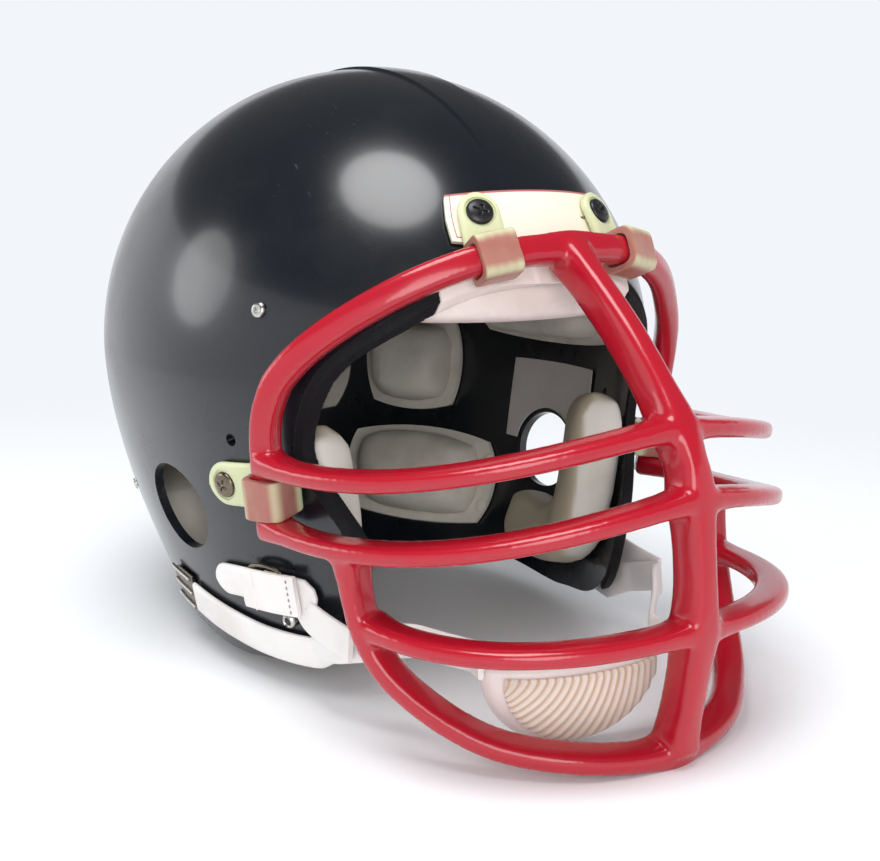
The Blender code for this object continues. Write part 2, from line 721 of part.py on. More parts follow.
def build_front_plate():
    """Bare plate over the brow; its lower edge sags in the middle."""
    low_rise, high_rise = PLATE_RISE_SHARES
    rows = []
    for column in range(11):
        u = column / 5 - 1
        row = []
        for step in range(5):
            v = step / 2 - 1
            a, b = corner_rounded(u, v, PLATE_CORNER_SHARE)
            rise = (low_rise + high_rise) / 2 + b * (high_rise - low_rise) / 2
            rise += PLATE_SAG_SHARE * a * a * (1 if b < 0 else -1)
            row.append([skin(a * PLATE_AZIMUTH, rise, PLATE_LIFT + lift) for lift in (0, PLATE_THICK)])
        rows.append(row)
    plate = sheet("front_plate", rows, PLATE_FINISH)
    for side in (-1, 1):
        hole = bore(side_name("plate_bore", side), TOP_SCREW_PLACE, side, SCREW_RADIUS + FIT_GAP)
        combine(plate, hole, "DIFFERENCE")
    return plate


def brow_stations():
    """Stations of the brow bar from the right cheek over the brow to the left cheek."""
    half = BROW_ROUTE_SHARES
    whole = [(-azimuth, rise, lift) for azimuth, rise, lift in reversed(half[1:])] + list(half)
    run = []
    for azimuth, rise, share in smooth_path(whole, MASK_STEPS):
        side = -1 if azimuth < 0 else 1
        run.append(skin_station(abs(azimuth), rise, side, BROW_LIFT * share))
    return run


def bar_stations(end, reach, height_share, steps=9):
    """Stations of a bar that bows forward between its ends on the cheeks."""
    start = skin_station(*end, 1, BROW_LIFT)[0]
    return bowed_stations(start, reach, height_share, steps)


def bowed_stations(start, reach, height_share, steps):
    middle_y = SHELL_CENTRE_Y - reach
    middle_z = height_share * SHELL_HEIGHT
    run = []
    for step in range(-steps, steps + 1):
        angle = math.pi / 2 * (1 - abs(step) / steps)
        x_share = signed_power(math.cos(angle), 2 / BAR_PLAN_POWER)
        ahead = signed_power(math.sin(angle), 2 / BAR_PLAN_POWER)
        side = -1 if step < 0 else 1
        point = Vector((side * start.x * x_share,
                        start.y + (middle_y - start.y) * ahead,
                        start.z + (middle_z - start.z) * (1 - x_share ** BAR_RISE_POWER)))
        run.append((point, Vector((point.x, point.y - SHELL_CENTRE_Y, 0))))
    return run


def mask_point(x_share, reach_share, height):
    return Vector((x_share * SHELL_HALF_WIDTH, SHELL_CENTRE_Y - reach_share * MASK_REACH, height))


def loop_stations():
    """Stations of the chin loop from cheek to cheek."""
    half = [mask_point(x, reach, LOOP_BAR_HEIGHT / 2 + z * SHELL_HEIGHT)
            for x, reach, z in LOOP_ROUTE_SHARES]
    whole = [Vector((-p.x, p.y, p.z)) for p in half] + half[-2::-1]
    hub = Vector((0, SHELL_CENTRE_Y - MASK_REACH / 2, SHELL_HEIGHT / 3))
    run = []
    for item in smooth_path([tuple(p) for p in whole], MASK_STEPS):
        point = Vector(item)
        out = point - hub
        out.z *= LOOP_FLAT_SHARE
        run.append((point, out))
    return run


def keel_stations():
    """Stations of the middle bar from the brow down to the chin loop."""
    places = [mask_point(0, reach, z * SHELL_HEIGHT) for reach, z in KEEL_ROUTE_SHARES]
    hub = Vector((0, SHELL_CENTRE_Y - MASK_REACH / 2, SHELL_HEIGHT / 3))
    return [(Vector(item), Vector(item) - hub)
            for item in smooth_path([tuple(p) for p in places], MASK_STEPS)]


def build_facemask():
    """One moulded piece: brow bar, three cross bars, chin loop and keel bar."""
    mask = swept_bar("facemask", brow_stations(), BROW_BAR_DEPTH, BROW_BAR_HEIGHT, MASK_FINISH)
    lower_start = mask_point(LOWER_BAR_SHARES[0], LOWER_BAR_SHARES[1],
                             LOWER_BAR_SHARES[2] * SHELL_HEIGHT)
    bars = {
        "upper_bar": bar_stations(UPPER_BAR_END, UPPER_BAR_REACH, UPPER_BAR_SHARE),
        "middle_bar": bar_stations(MIDDLE_BAR_END, MIDDLE_BAR_REACH, MIDDLE_BAR_SHARE),
        "lower_bar": bowed_stations(lower_start, LOWER_BAR_REACH, LOWER_BAR_SHARE, 8),
    }
    for name, run in bars.items():
        combine(mask, swept_bar(name, run, BAR_DEPTH, BAR_HEIGHT, MASK_FINISH), "UNION")
    loop = swept_bar("chin_loop", loop_stations(), LOOP_BAR_DEPTH, LOOP_BAR_HEIGHT, MASK_FINISH)
    combine(mask, loop, "UNION")
    keel = swept_bar("keel_bar", keel_stations(), KEEL_BAR_DEPTH, KEEL_BAR_WIDTH, MASK_FINISH)
    combine(mask, keel, "UNION")
    return mask


def nearest(run, place):
    """Index of the station closest to a place."""
    return min(range(len(run)), key=lambda index: (run[index][0] - place).length)


def build_clip(name, side, bar_place, screw_place, base, tab_width, width):
    """A moulded loop round the mask's bar with a tab that is screwed to the shell."""
    run = brow_stations()
    bar_place_lifted = skin_station(*bar_place, side, BROW_LIFT)[0]
    index = nearest(run, bar_place_lifted)
    point, out = run[index]
    along = (run[index + 1][0] - run[index - 1][0]).normalized()
    out = (out - along * out.dot(along)).normalized()
    frame = Matrix((out.cross(along), out, along)).transposed().to_4x4()
    frame = Matrix.Translation(point) @ frame
    gap = CLIP_GAP
    hole = oval(BROW_BAR_HEIGHT + 2 * gap, BROW_BAR_DEPTH + 2 * gap, BAR_SECTION_POWER, ROUND_SIDES)
    top = BROW_BAR_DEPTH / 2 + gap + CLIP_WALL
    drop = BROW_LIFT - base
    outline = [(x, y + (top - drop) / 2)
               for x, y in oval(BROW_BAR_HEIGHT + 2 * (gap + CLIP_WALL), top + drop, CLIP_POWER, ROUND_SIDES)]
    ring = prism(side_name(name + "_loop", side), [outline, hole], width / 2, frame)
    screw = skin_station(*screw_place, side, base)[0]
    beyond = tuple(2 * s - b for s, b in zip(screw_place, bar_place))
    tab_run = skin_run((bar_place, screw_place, beyond), side, base)
    reach = run_length(tab_run[:nearest(tab_run, screw) + 1]) + tab_width / 2
    tab_run = [at_distance(tab_run, reach * step / TAB_STEPS) for step in range(TAB_STEPS + 1)]
    clip = strip(side_name(name, side), tab_run, tab_width, TAB_THICK, CLIP_FINISH, round_end=True)
    combine(clip, ring, "UNION")
    # The loop stands clear of the bar, so the tab's root is opened for it too
    core = swept_bar(side_name(name + "_core", side), run[index - 3:index + 4],
                     BROW_BAR_DEPTH + 2 * gap, BROW_BAR_HEIGHT + 2 * gap, None)
    combine(clip, core, "DIFFERENCE")
    hole = bore(side_name(name + "_bore", side), screw_place, side, SCREW_RADIUS + FIT_GAP)
    combine(clip, hole, "DIFFERENCE")
    return clip


def build_screw(name, side, place, seat, finish):
    """Round-headed screw that reaches through its clip, the shell and the nut."""
    head = SCREW_HEAD_RADIUS
    top = seat + SCREW_HEAD_HEIGHT
    foot = -NUT_SEAT - NUT_THICK
    profile = [(0, top), (head * 0.55, top), (head * 0.86, seat + SCREW_HEAD_HEIGHT * 0.7),
               (head, seat + SCREW_HEAD_HEIGHT * 0.25), (head, seat), (SCREW_RADIUS, seat),
               (SCREW_RADIUS, foot), (0, foot)]
    return turned(side_name(name, side), skin_frame(*place, side), profile, finish)


def build_nut(name, side, place):
    """Nut against the inside of the shell, open for its screw."""
    top = -NUT_SEAT
    frame = skin_frame(*place, side)
    nut = disc(side_name(name, side), frame, NUT_RADIUS, top - NUT_THICK, top, NUT_SIDES)
    nut.data.materials.append(STEEL_FINISH)
    hole = disc(side_name(name + "_bore", side), frame, SCREW_RADIUS + FIT_GAP,
                top - NUT_THICK - OVERRUN / 2, top + SHELL_WALL)
    return combine(nut, hole, "DIFFERENCE")


def build_stud(name, side, place, radius, height, finish):
    """Low stud on the outside with a stem through the wall."""
    profile = [(0, FIT_GAP + height), (radius * 0.7, FIT_GAP + height), (radius, FIT_GAP + height * 0.4),
               (radius, FIT_GAP), (radius * STEM_SHARE, FIT_GAP), (radius * STEM_SHARE, -SHELL_WALL),
               (0, -SHELL_WALL)]
    return turned(side_name(name, side), skin_frame(*place, side), profile, finish)


def pad_height(u, v, thick, flange_share):
    """Height of a pad over its base: a thin flange, steep sides and a crown."""
    def shoulder(value):
        return math.sqrt(max(0.0, 1 - (abs(value) / flange_share) ** PAD_EDGE_POWER))
    crown = 1 - PAD_CROWN_SHARE * (u * u + v * v) / 2
    return PAD_FLANGE + (thick - PAD_FLANGE) * shoulder(u) * shoulder(v) * crown


def build_pad(name, place, thick, finish, flange_share=PAD_FLANGE_SHARE):
    """Stuffed pad against the inside of the shell; place(u, v, depth) gives its points."""
    rows = []
    for u in PAD_GRID_SHARES:
        row = []
        for v in PAD_GRID_SHARES:
            a, b = corner_rounded(u, v, PAD_CORNER_SHARE)
            depth = SHELL_WALL + SOFT_GAP
            row.append([place(a, b, depth), place(a, b, depth + pad_height(u, v, thick, flange_share))])
        rows.append(row)
    return sheet(name, rows, finish)


def band_place(edges, side):
    """Places inside the shell within azimuth and rise edges."""
    def place(u, v, depth):
        azimuth = (edges[0] + edges[1]) / 2 + u * (edges[1] - edges[0]) / 2
        rise = (edges[2] + edges[3]) / 2 + v * (edges[3] - edges[2]) / 2
        point = skin(azimuth, rise, -depth)
        point.x *= side
        return point
    return place


def crown_place(pad, side):
    """Places under the crown about a middle and half sizes in plan."""
    def place(u, v, depth):
        point = skin_over(pad[0] + u * pad[2], pad[1] + v * pad[3], -depth)
        point.x *= side
        return point
    return place


def build_jaw_pad(side):
    """Thick cheek cushion that follows the front of the flap and turns back at its foot."""
    run = []
    for y_share, z_share in smooth_path(JAW_ROUTE_SHARES, JAW_STEPS):
        y = SHELL_CENTRE_Y + y_share * SHELL_HALF_LENGTH
        azimuth, rise = side_place(y, z_share * SHELL_HEIGHT)
        run.append(skin_station(azimuth, rise, side, -SHELL_WALL - CLIP_GAP - JAW_PAD_THICK / 2))
    scales = [1.0] * len(run)
    for index, share in enumerate(JAW_END_SHARES):
        scales[index] = scales[-1 - index] = share
    return swept_bar(side_name("jaw_pad", side), run, JAW_PAD_THICK, JAW_PAD_WIDTH, JAW_FINISH,
                     JAW_SECTION_POWER, scales)


def build_tag():
    """Bare tag on the left inner wall, cut away round the ear hole; all its places lie on the +X side."""
    rows = []
    place = band_place(TAG_EDGES, 1)
    depth = SHELL_WALL + SOFT_GAP
    for column in range(TAG_STEPS + 1):
        u = 2 * column / TAG_STEPS - 1
        row = []
        for step in range(TAG_STEPS + 1):
            v = 2 * step / TAG_STEPS - 1
            row.append([place(u, v, depth), place(u, v, depth + TAG_THICK)])
        rows.append(row)
    tag = sheet("inner_tag", rows, TAG_FINISH)
    combine(tag, ear_hole("tag_ear_cut", 1, EAR_HOLE_TAG_MARGIN), "DIFFERENCE")
    return tag


def build_pad_rivets(side):
    """Two rivets through the flange of the neck pad."""
    front, rear, low, high = NECK_PAD_EDGES
    base = -SHELL_WALL - SOFT_GAP - PAD_FLANGE - FIT_GAP
    tip = base - PAD_RIVET_HEIGHT
    profile = [(0, base), (PAD_RIVET_RADIUS, base), (PAD_RIVET_RADIUS * PAD_RIVET_TIP_SHARE, tip), (0, tip)]
    for index, (u, v) in enumerate(PAD_RIVET_SHARES):
        a, b = corner_rounded(u, v, PAD_CORNER_SHARE)
        azimuth = (front + rear + a * (rear - front)) / 2
        rise = (low + high + b * (high - low)) / 2
        turned(f"{side_name('pad_rivet', side)}_{index + 1}", skin_frame(azimuth, rise, side), profile,
               LINER_FINISH)


def build_liner():
    build_pad("brow_pad", band_place(BROW_PAD_EDGES, 1), BROW_PAD_THICK, BROW_FINISH,
              BROW_PAD_FLANGE_SHARE)
    build_pad("back_pad", band_place(BACK_PAD_EDGES, 1), PAD_THICK, LINER_FINISH)
    build_pad("crown_front_pad", crown_place(CROWN_FRONT_PAD, 1), PAD_THICK, LINER_FINISH)
    build_pad("crown_rear_pad", crown_place(CROWN_REAR_PAD, 1), PAD_THICK, LINER_FINISH)
    for side in (-1, 1):
        for name, edges in (("side_pad", SIDE_PAD_EDGES), ("rear_side_pad", REAR_SIDE_PAD_EDGES),
                            ("neck_pad", NECK_PAD_EDGES)):
            build_pad(side_name(name, side), band_place(edges, side), PAD_THICK, LINER_FINISH)
        build_pad(side_name("crown_side_pad", side), crown_place(CROWN_SIDE_PAD, side), PAD_THICK,
                  LINER_FINISH)
        build_jaw_pad(side)
        build_pad_rivets(side)
    build_tag()


def pivot_point(side):
    return Vector((side * PIVOT_HALF_SPAN, SHELL_CENTRE_Y - PIVOT_REACH, PIVOT_HEIGHT))


def build_fixed_straps(side):
    """Straps on the flap: hook, rear strap, front tab, keeper, front strap and snap."""
    hook_run = skin_run(HOOK_ROUTE_SHARES, side, FIT_GAP)
    strip(side_name("strap_hook", side), hook_run, HOOK_WIDTH, HOOK_THICK, STEEL_FINISH, round_start=True)
    pivot = pivot_point(side)
    outward = Vector((side, 0, 0))
    radius = STRAP_WIDTH / 2
    rear = skin_run(REAR_STRAP_ROUTE_SHARES, side, SOFT_GAP)
    lead = [(pivot + Vector((side * PIVOT_GAP / 2, radius * reach, -radius * reach * REAR_STRAP_SLOPE)),
             outward) for reach in REAR_LEAD_SHARES]
    rear = rear[:-1] + smooth_run([rear[-1]] + lead)
    strip(side_name("rear_strap", side), rear, STRAP_WIDTH, STRAP_THICK, STRAP_FINISH, round_end=True)
    front = skin_run(FRONT_STRAP_ROUTE_SHARES, side, SOFT_GAP)
    foot = pivot + Vector((side * (PIVOT_GAP / 2 + STRAP_THICK + SOFT_GAP), -radius / 2, radius / 4))
    bend = [(Vector((side * x * SHELL_HALF_WIDTH, SHELL_CENTRE_Y - reach * SHELL_HALF_LENGTH,
                     z * WIDEST_HEIGHT)), outward) for x, reach, z in FRONT_LEG_SHARES]
    front = front[:-1] + smooth_run([front[-1]] + bend + [(foot, outward)])
    strip(side_name("front_strap", side), front, STRAP_WIDTH * FRONT_WIDTH_SHARE, STRAP_THICK, STRAP_FINISH)
    tab = skin_run(FRONT_TAB_ROUTE_SHARES, side, SOFT_GAP)
    strip(side_name("front_tab", side), tab, STRAP_WIDTH * FRONT_WIDTH_SHARE, STRAP_THICK, STRAP_FINISH,
          round_start=True)
    keeper = skin_run(KEEPER_ROUTE_SHARES, side, SOFT_GAP + STRAP_THICK + SOFT_GAP)
    strip(side_name("keeper", side), keeper, KEEPER_WIDTH, KEEPER_THICK, STRAP_FINISH)
    profile = [(0, FIT_GAP + SNAP_HEIGHT), (SNAP_RADIUS * SNAP_TIP_SHARE, FIT_GAP + SNAP_HEIGHT),
               (SNAP_RADIUS, FIT_GAP + SNAP_HEIGHT * SNAP_EDGE_SHARE), (SNAP_RADIUS, FIT_GAP), (0, FIT_GAP)]
    turned(side_name("strap_snap", side), skin_frame(*SNAP_PLACE, side), profile, STEEL_FINISH)


def cup_frame():
    """Frame of the cup: X across, Y up its mouth, Z out of its bowl."""
    place = Matrix.Translation((CUP_SIDE_SHIFT, SHELL_CENTRE_Y - CUP_REACH, CUP_HEIGHT))
    turn = Matrix.Rotation(CUP_YAW, 4, "Z") @ Matrix.Rotation(math.pi / 2, 4, "X")
    return place @ turn


def cup_point(unit):
    """Point of the bowl's outer face over one point of a unit dome, deep below and low above."""
    rise = CUP_DROP * (CUP_UPPER_SHARE if unit.y > 0 else 1)
    return Vector((unit.x * CUP_HALF_WIDTH, unit.y * rise, unit.z * CUP_DEPTH))


def cup_normal(unit):
    """Outward direction of the bowl's outer face there."""
    rise = CUP_DROP * (CUP_UPPER_SHARE if unit.y > 0 else 1)
    return Vector((unit.x / CUP_HALF_WIDTH, unit.y / rise, unit.z / CUP_DEPTH)).normalized()


def build_cup():
    """Soft bowl under the chin."""
    bm = bmesh.new()
    bmesh.ops.create_uvsphere(bm, u_segments=CUP_SEGMENTS, v_segments=CUP_RINGS, radius=1,
                              matrix=Matrix.Rotation(math.pi / 2, 4, "Y"))
    behind = [face for face in bm.faces if face.calc_center_median().z < 0]
    bmesh.ops.delete(bm, geom=behind, context="FACES")
    for vertex in bm.verts:
        vertex.co = cup_point(vertex.co)
    bm.transform(cup_frame())
    cup = add_part("chin_cup", bm, CUP_FINISH)
    thicken(cup, CUP_WALL)
    return cup


def build_cup_cover():
    """Ribbed cover over the front of the bowl."""
    frame = cup_frame()
    rows = []
    for column in range(CUP_COVER_STEPS + 1):
        angle = CUP_COVER_TURN * (2 * column / CUP_COVER_STEPS - 1)
        across, foot = CUP_COVER_SHARE * math.sin(angle), -CUP_COVER_SHARE * math.cos(angle)
        row = []
        for step in range(CUP_COVER_STEPS + 1):
            height = CUP_COVER_TOP + (foot - CUP_COVER_TOP) * step / CUP_COVER_STEPS
            unit = Vector((across, height, math.sqrt(1 - across * across - height * height)))
            point, out = cup_point(unit), cup_normal(unit)
            row.append([frame @ (point + out * (CLIP_GAP + lift)) for lift in (0, CUP_COVER_THICK)])
        rows.append(row)
    return sheet("cup_cover", rows, COVER_FINISH)


def build_chin_strap(side):
    """Strap from the pivot to one end of the cup."""
    frame = cup_frame()
    radius = CHIN_STRAP_WIDTH / 2
    inset = side * (PIVOT_GAP / 2 + CHIN_STRAP_THICK)
    start = pivot_point(side) - Vector((inset, 0, 0))
    outward = Vector((side, 0, 0))
    cup_side = frame.col[0].to_3d() * side
    lap = [(frame @ Vector((side * (CUP_HALF_WIDTH + FIT_GAP), CUP_LAP_LIFT, reach * CUP_LAP)), cup_side)
           for reach in (-2, -0.5, 1)]
    ahead = Vector((0, -radius, radius * REAR_STRAP_SLOPE))
    flat = [(start + ahead * reach, outward) for reach in (-1, 0, 0.7, 1.1)]
    lead = [(flat[-1][0].lerp(lap[0][0], share) + Vector((-side * inward, 0, lift)),
             outward.lerp(lap[0][1], share).normalized()) for share, inward, lift in STRAP_LEADS]
    return strip(side_name("chin_strap", side), smooth_run(flat + lead + lap), CHIN_STRAP_WIDTH,
                 CHIN_STRAP_THICK, STRAP_FINISH, round_start=True)


def hang_on_pivot(things):
    """Carry the swinging pieces on an empty at their hinge line."""
    pivot = bpy.data.objects.new("chin_strap_pivot", None)
    pivot.location = (0, SHELL_CENTRE_Y - PIVOT_REACH, PIVOT_HEIGHT)
    PARTS.objects.link(pivot)
    bpy.context.view_layer.update()
    for thing in things:
        thing.parent = pivot
        thing.matrix_parent_inverse = pivot.matrix_world.inverted()


def build_helmet():
    build_shell()
    build_edge_trim()
    build_front_plate()
    build_facemask()
    for side in (-1, 1):
        top_bar = (TOP_CLIP_AZIMUTH, TOP_CLIP_RISE_SHARES[0])
        build_clip("top_clip", side, top_bar, TOP_SCREW_PLACE, TOP_CLIP_BASE, TOP_TAB_WIDTH, TOP_CLIP_WIDTH)
        side_bar = (SIDE_CLIP_AZIMUTHS[0], SIDE_CLIP_RISE_SHARES[0])
        build_clip("side_clip", side, side_bar, SIDE_SCREW_PLACE, FIT_GAP, SIDE_TAB_WIDTH, SIDE_CLIP_WIDTH)
        build_screw("top_clip_screw", side, TOP_SCREW_PLACE, TOP_CLIP_BASE + TAB_THICK + FIT_GAP,
                    BLACK_SCREW_FINISH)
        build_screw("side_clip_screw", side, SIDE_SCREW_PLACE, TAB_THICK + 2 * FIT_GAP, STEEL_FINISH)
        build_nut("top_clip_nut", side, TOP_SCREW_PLACE)
        build_nut("side_clip_nut", side, SIDE_SCREW_PLACE)
        build_stud("liner_screw", side, LINER_SCREW_PLACE, LINER_SCREW_RADIUS, LINER_SCREW_HEIGHT,
                   STEEL_FINISH)
        build_stud("rear_rivet", side, REAR_RIVET_PLACE, RIVET_RADIUS, RIVET_HEIGHT, STEEL_FINISH)
        build_fixed_straps(side)
    build_liner()
    hang_on_pivot([build_cup(), build_cup_cover(), build_chin_strap(-1), build_chin_strap(1)])


build_helmet()
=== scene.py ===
"""Football helmet dressed over its solids: fine pieces, soft pads, finishes and a studio.

The file is laid out as an add-on. Run as a script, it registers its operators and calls
them in order.
"""

import math

import bmesh
import bpy
from mathutils import Matrix, Vector


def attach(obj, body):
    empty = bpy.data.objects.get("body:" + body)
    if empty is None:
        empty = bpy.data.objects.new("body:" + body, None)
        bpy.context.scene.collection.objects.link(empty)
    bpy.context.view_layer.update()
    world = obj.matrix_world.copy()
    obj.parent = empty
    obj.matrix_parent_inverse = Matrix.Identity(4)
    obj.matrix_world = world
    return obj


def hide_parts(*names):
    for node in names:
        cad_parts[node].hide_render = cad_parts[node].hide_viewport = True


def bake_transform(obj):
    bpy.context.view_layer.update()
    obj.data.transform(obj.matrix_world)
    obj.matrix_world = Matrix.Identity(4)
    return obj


bl_info = {
    "name": "Football Helmet",
    "version": (1, 0, 0),
    "blender": (4, 5, 0),
    "location": "View3D > Sidebar > Helmet",
    "description": "Builds the looks of a football helmet and its studio",
    "category": "Add Mesh",
}

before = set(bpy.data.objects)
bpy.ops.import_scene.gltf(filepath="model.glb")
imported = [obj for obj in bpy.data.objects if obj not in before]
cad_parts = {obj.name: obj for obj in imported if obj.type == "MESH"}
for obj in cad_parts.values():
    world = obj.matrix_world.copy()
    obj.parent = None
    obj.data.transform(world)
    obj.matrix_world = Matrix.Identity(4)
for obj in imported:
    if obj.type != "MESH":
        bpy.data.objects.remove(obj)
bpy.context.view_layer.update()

# Shell: the same rounded body as the solids have
SHELL_HALF_WIDTH = 0.112
SHELL_HALF_LENGTH = 0.1423
SHELL_CROWN = 0.1234
SHELL_DROP = 0.1804
SIDE_DROP = 0.390
WIDEST_HEIGHT = 0.1251
SHELL_WALL = 0.004
SHELL_TILT = math.radians(1.5)
PLAN_POWER = 2.1
CROWN_POWER = 2.0
DROP_POWER = 1.73
SIDE_POWER = 1.2
SIDE_FADE_END = 125.0
SIDE_FADE_SPAN = 50.0
SHELL_SEGMENTS = 160
SHELL_RINGS = 120
SKIRT_SHARE = 0.78
RIDGE_WIDTH = 0.020
RIDGE_RISE = 0.001
RIDGE_STEP = 0.0009
MASK_REACH = 0.2195
SHELL_CENTRE_Y = (MASK_REACH - SHELL_HALF_LENGTH - RIDGE_RISE) / 2
SHELL_HEIGHT = WIDEST_HEIGHT + SHELL_CROWN
FIT_GAP = 0.0003
SOFT_GAP = 0.0009
CLIP_GAP = 0.0006
OVERRUN = 0.03

# Openings
EAR_HOLE_HALF_LENGTH = 0.0215
EAR_HOLE_HALF_HEIGHT = 0.0183
EAR_HOLE_PLACE = (84.5, -0.328)
EAR_HOLE_LEAN = math.radians(12)
VENT_PLACE = (65.4, -0.136)
VENT_RADIUS = 0.0025
FACE_EDGE_SHARES = (
    (-1.30, 0.672), (-0.99, 0.672), (-0.90, 0.661), (-0.815, 0.603), (-0.71, 0.537),
    (-0.648, 0.455), (-0.638, 0.388), (-0.695, 0.322), (-0.738, 0.262), (-0.722, 0.190),
    (-0.668, 0.106), (-0.55, 0.054), (-0.40, 0.036), (-0.25, 0.029), (0.08, 0.043),
    (0.30, 0.030), (0.46, 0.004), (0.60, 0.000), (1.30, 0.000),
)
EDGE_STEPS = 12
TRIM_SPAN_SHARES = (0.055, 0.60)
TRIM_HEIGHT = 0.0034
TRIM_VOXEL = 0.0006

# Front plate
PLATE_AZIMUTH = 21.3
PLATE_RISE_SHARES = (0.385, 0.545)
PLATE_SAG_SHARE = 0.014
PLATE_THICK = 0.002
PLATE_CORNER_SHARE = 0.05
PLATE_LIFT = RIDGE_RISE + FIT_GAP
PLATE_STEPS = (64, 24)
PLATE_ROUNDING = 0.0004

# Face mask
BAR_HEIGHT = 0.007
BAR_DEPTH = 0.013
BROW_BAR_HEIGHT = 0.011
BROW_BAR_DEPTH = 0.010
LOOP_BAR_HEIGHT = 0.008
LOOP_BAR_DEPTH = 0.0125
KEEL_BAR_WIDTH = 0.0105
KEEL_BAR_DEPTH = 0.015
BAR_SECTION_POINTS = 24
BAR_SECTION_POWER = 3.6
UPPER_BAR_REACH = 0.1985
MIDDLE_BAR_REACH = 0.2085
LOWER_BAR_REACH = 0.2120
CLIP_WALL = 0.0023
TOP_CLIP_AZIMUTH = 14.9
TOP_CLIP_RISE_SHARES = (0.333, 0.468)
SIDE_CLIP_AZIMUTHS = (54.7, 67.2)
SIDE_CLIP_RISE_SHARES = (-0.221, -0.232)
TOP_CLIP_BASE = PLATE_LIFT + PLATE_THICK + FIT_GAP
BROW_LIFT = TOP_CLIP_BASE + CLIP_WALL + CLIP_GAP + BROW_BAR_DEPTH / 2
BROW_ROUTE_SHARES = (
    (0.0, 0.352, 0.94), (TOP_CLIP_AZIMUTH, TOP_CLIP_RISE_SHARES[0], 1.0), (27.0, 0.280, 0.93),
    (38.6, 0.190, 0.78), (47.5, 0.080, 0.86), (53.0, -0.044, 0.95), (54.4, -0.150, 1.0),
    (SIDE_CLIP_AZIMUTHS[0], SIDE_CLIP_RISE_SHARES[0], 1.0), (55.2, -0.310, 1.0),
)
UPPER_BAR_END = (54.3, -0.153)
MIDDLE_BAR_END = (55.2, -0.288)
UPPER_BAR_SHARE = 0.4785
MIDDLE_BAR_SHARE = 0.388
LOWER_BAR_SHARE = 0.207
BAR_PLAN_POWER = 2.3
BAR_RISE_POWER = 1.6
LOOP_ROUTE_SHARES = (
    (0.799, 0.613, 0.286), (0.777, 0.640, 0.177), (0.705, 0.697, 0.0986),
    (0.535, 0.803, 0.034), (0.290, 0.898, 0.012), (0.0, 0.929, 0.002),
)
LOWER_BAR_SHARES = (0.757, 0.628, 0.194)
LOOP_FLAT_SHARE = 0.3
KEEL_ROUTE_SHARES = (
    (0.641, 0.704), (0.790, 0.5915), (0.910, 0.467), (0.947, 0.378), (0.9655, 0.209),
    (0.936, 0.024),
)
MASK_STEPS = 9
MASK_VOXEL = 0.0011
FLARE_REACH = 0.009
FLARE_SHARE = 0.45

# Clips and what holds them
TOP_CLIP_WIDTH = 0.015
SIDE_CLIP_WIDTH = 0.0155
TAB_THICK = 0.0036
TOP_TAB_WIDTH = 0.0165
SIDE_TAB_WIDTH = 0.018
CLIP_POWER = 5.0
CLIP_VOXEL = 0.0005
DISH_RADIUS = 0.0061
DISH_DEPTH = 0.0008
DISH_FLARE = 0.0005
TINT_START = 0.0022
TINT_SPAN = 0.0018
TINT_REACH = 12
CORE_REACH = 9
SCREW_RADIUS = 0.0023
SCREW_HEAD_RADIUS = 0.0052
SCREW_HEAD_HEIGHT = 0.0022
SCREW_TURN = 0.35
CROSS_LENGTH = 0.0052
CROSS_WIDTH = 0.0011
CROSS_DEPTH = 0.0013
NUT_RADIUS = 0.0056
NUT_THICK = 0.0022
NUT_SIDES = 6
NUT_ROUNDING = 0.0003
NUT_SEAT = SHELL_WALL + SOFT_GAP
LINER_SCREW_PLACE = (57.5, 0.210)
LINER_SCREW_RADIUS = 0.0030
LINER_SCREW_HEIGHT = 0.0014
REAR_RIVET_PLACE = (112.0, -0.345)
RIVET_RADIUS = 0.0026
RIVET_HEIGHT = 0.0010
STEM_SHARE = 0.5
ROUND_SIDES = 40

# Liner pads
PAD_THICK = 0.024
PAD_FLANGE = 0.0022
PAD_FLANGE_SHARE = 0.86
PAD_CROWN_SHARE = 0.16
PAD_EDGE_POWER = 6.0
PAD_CORNER_SHARE = 0.28
PAD_STEPS = 22
PAD_VOXEL = 0.004
PAD_SPREAD = 1.02
PAD_TRIM = 0.001
PAD_SEAM_SHARE = 0.01
FLUSH_SHARE = 0.95
BROW_PAD_EDGES = (-61.0, 61.0, 0.185, 0.40)
BROW_PAD_THICK = 0.020
LIP_THICK = 0.0006
LIP_LAP_SHARE = 1.6
LIP_HALF_WIDTH = 0.046
BROW_PAD_FLANGE_SHARE = 0.999
SIDE_PAD_EDGES = (63.0, 108.0, -0.03, 0.22)
REAR_SIDE_PAD_EDGES = (113.0, 141.0, -0.275, 0.03)
BACK_PAD_EDGES = (146.0, 214.0, -0.30, 0.03)
NECK_PAD_EDGES = (98.0, 148.0, -0.600, -0.325)
CROWN_FRONT_PAD = (0.0, -0.066, 0.044, 0.024)
CROWN_REAR_PAD = (0.0, 0.066, 0.044, 0.030)
CROWN_SIDE_PAD = (0.041, 0.0, 0.030, 0.032)
PAD_RIVET_RADIUS = 0.0035
PAD_RIVET_HEIGHT = 0.0012
PAD_RIVET_SHARES = ((-0.93, -0.55), (-0.93, 0.55))
JAW_ROUTE_SHARES = (
    (-0.600, 0.425), (-0.612, 0.330), (-0.606, 0.245), (-0.560, 0.175), (-0.440, 0.138),
    (-0.290, 0.130), (-0.130, 0.142),
)
JAW_PAD_WIDTH = 0.029
JAW_PAD_THICK = 0.024
JAW_SECTION_POWER = 5.0
JAW_END_SHARES = (0.45, 0.68, 0.82, 0.92, 0.98)
STUFFING_TRIM = 0.0012
PUFF_FRAMES = 20
TAG_EDGES = (71.0, 97.0, -0.315, -0.085)
TAG_THICK = 0.0005
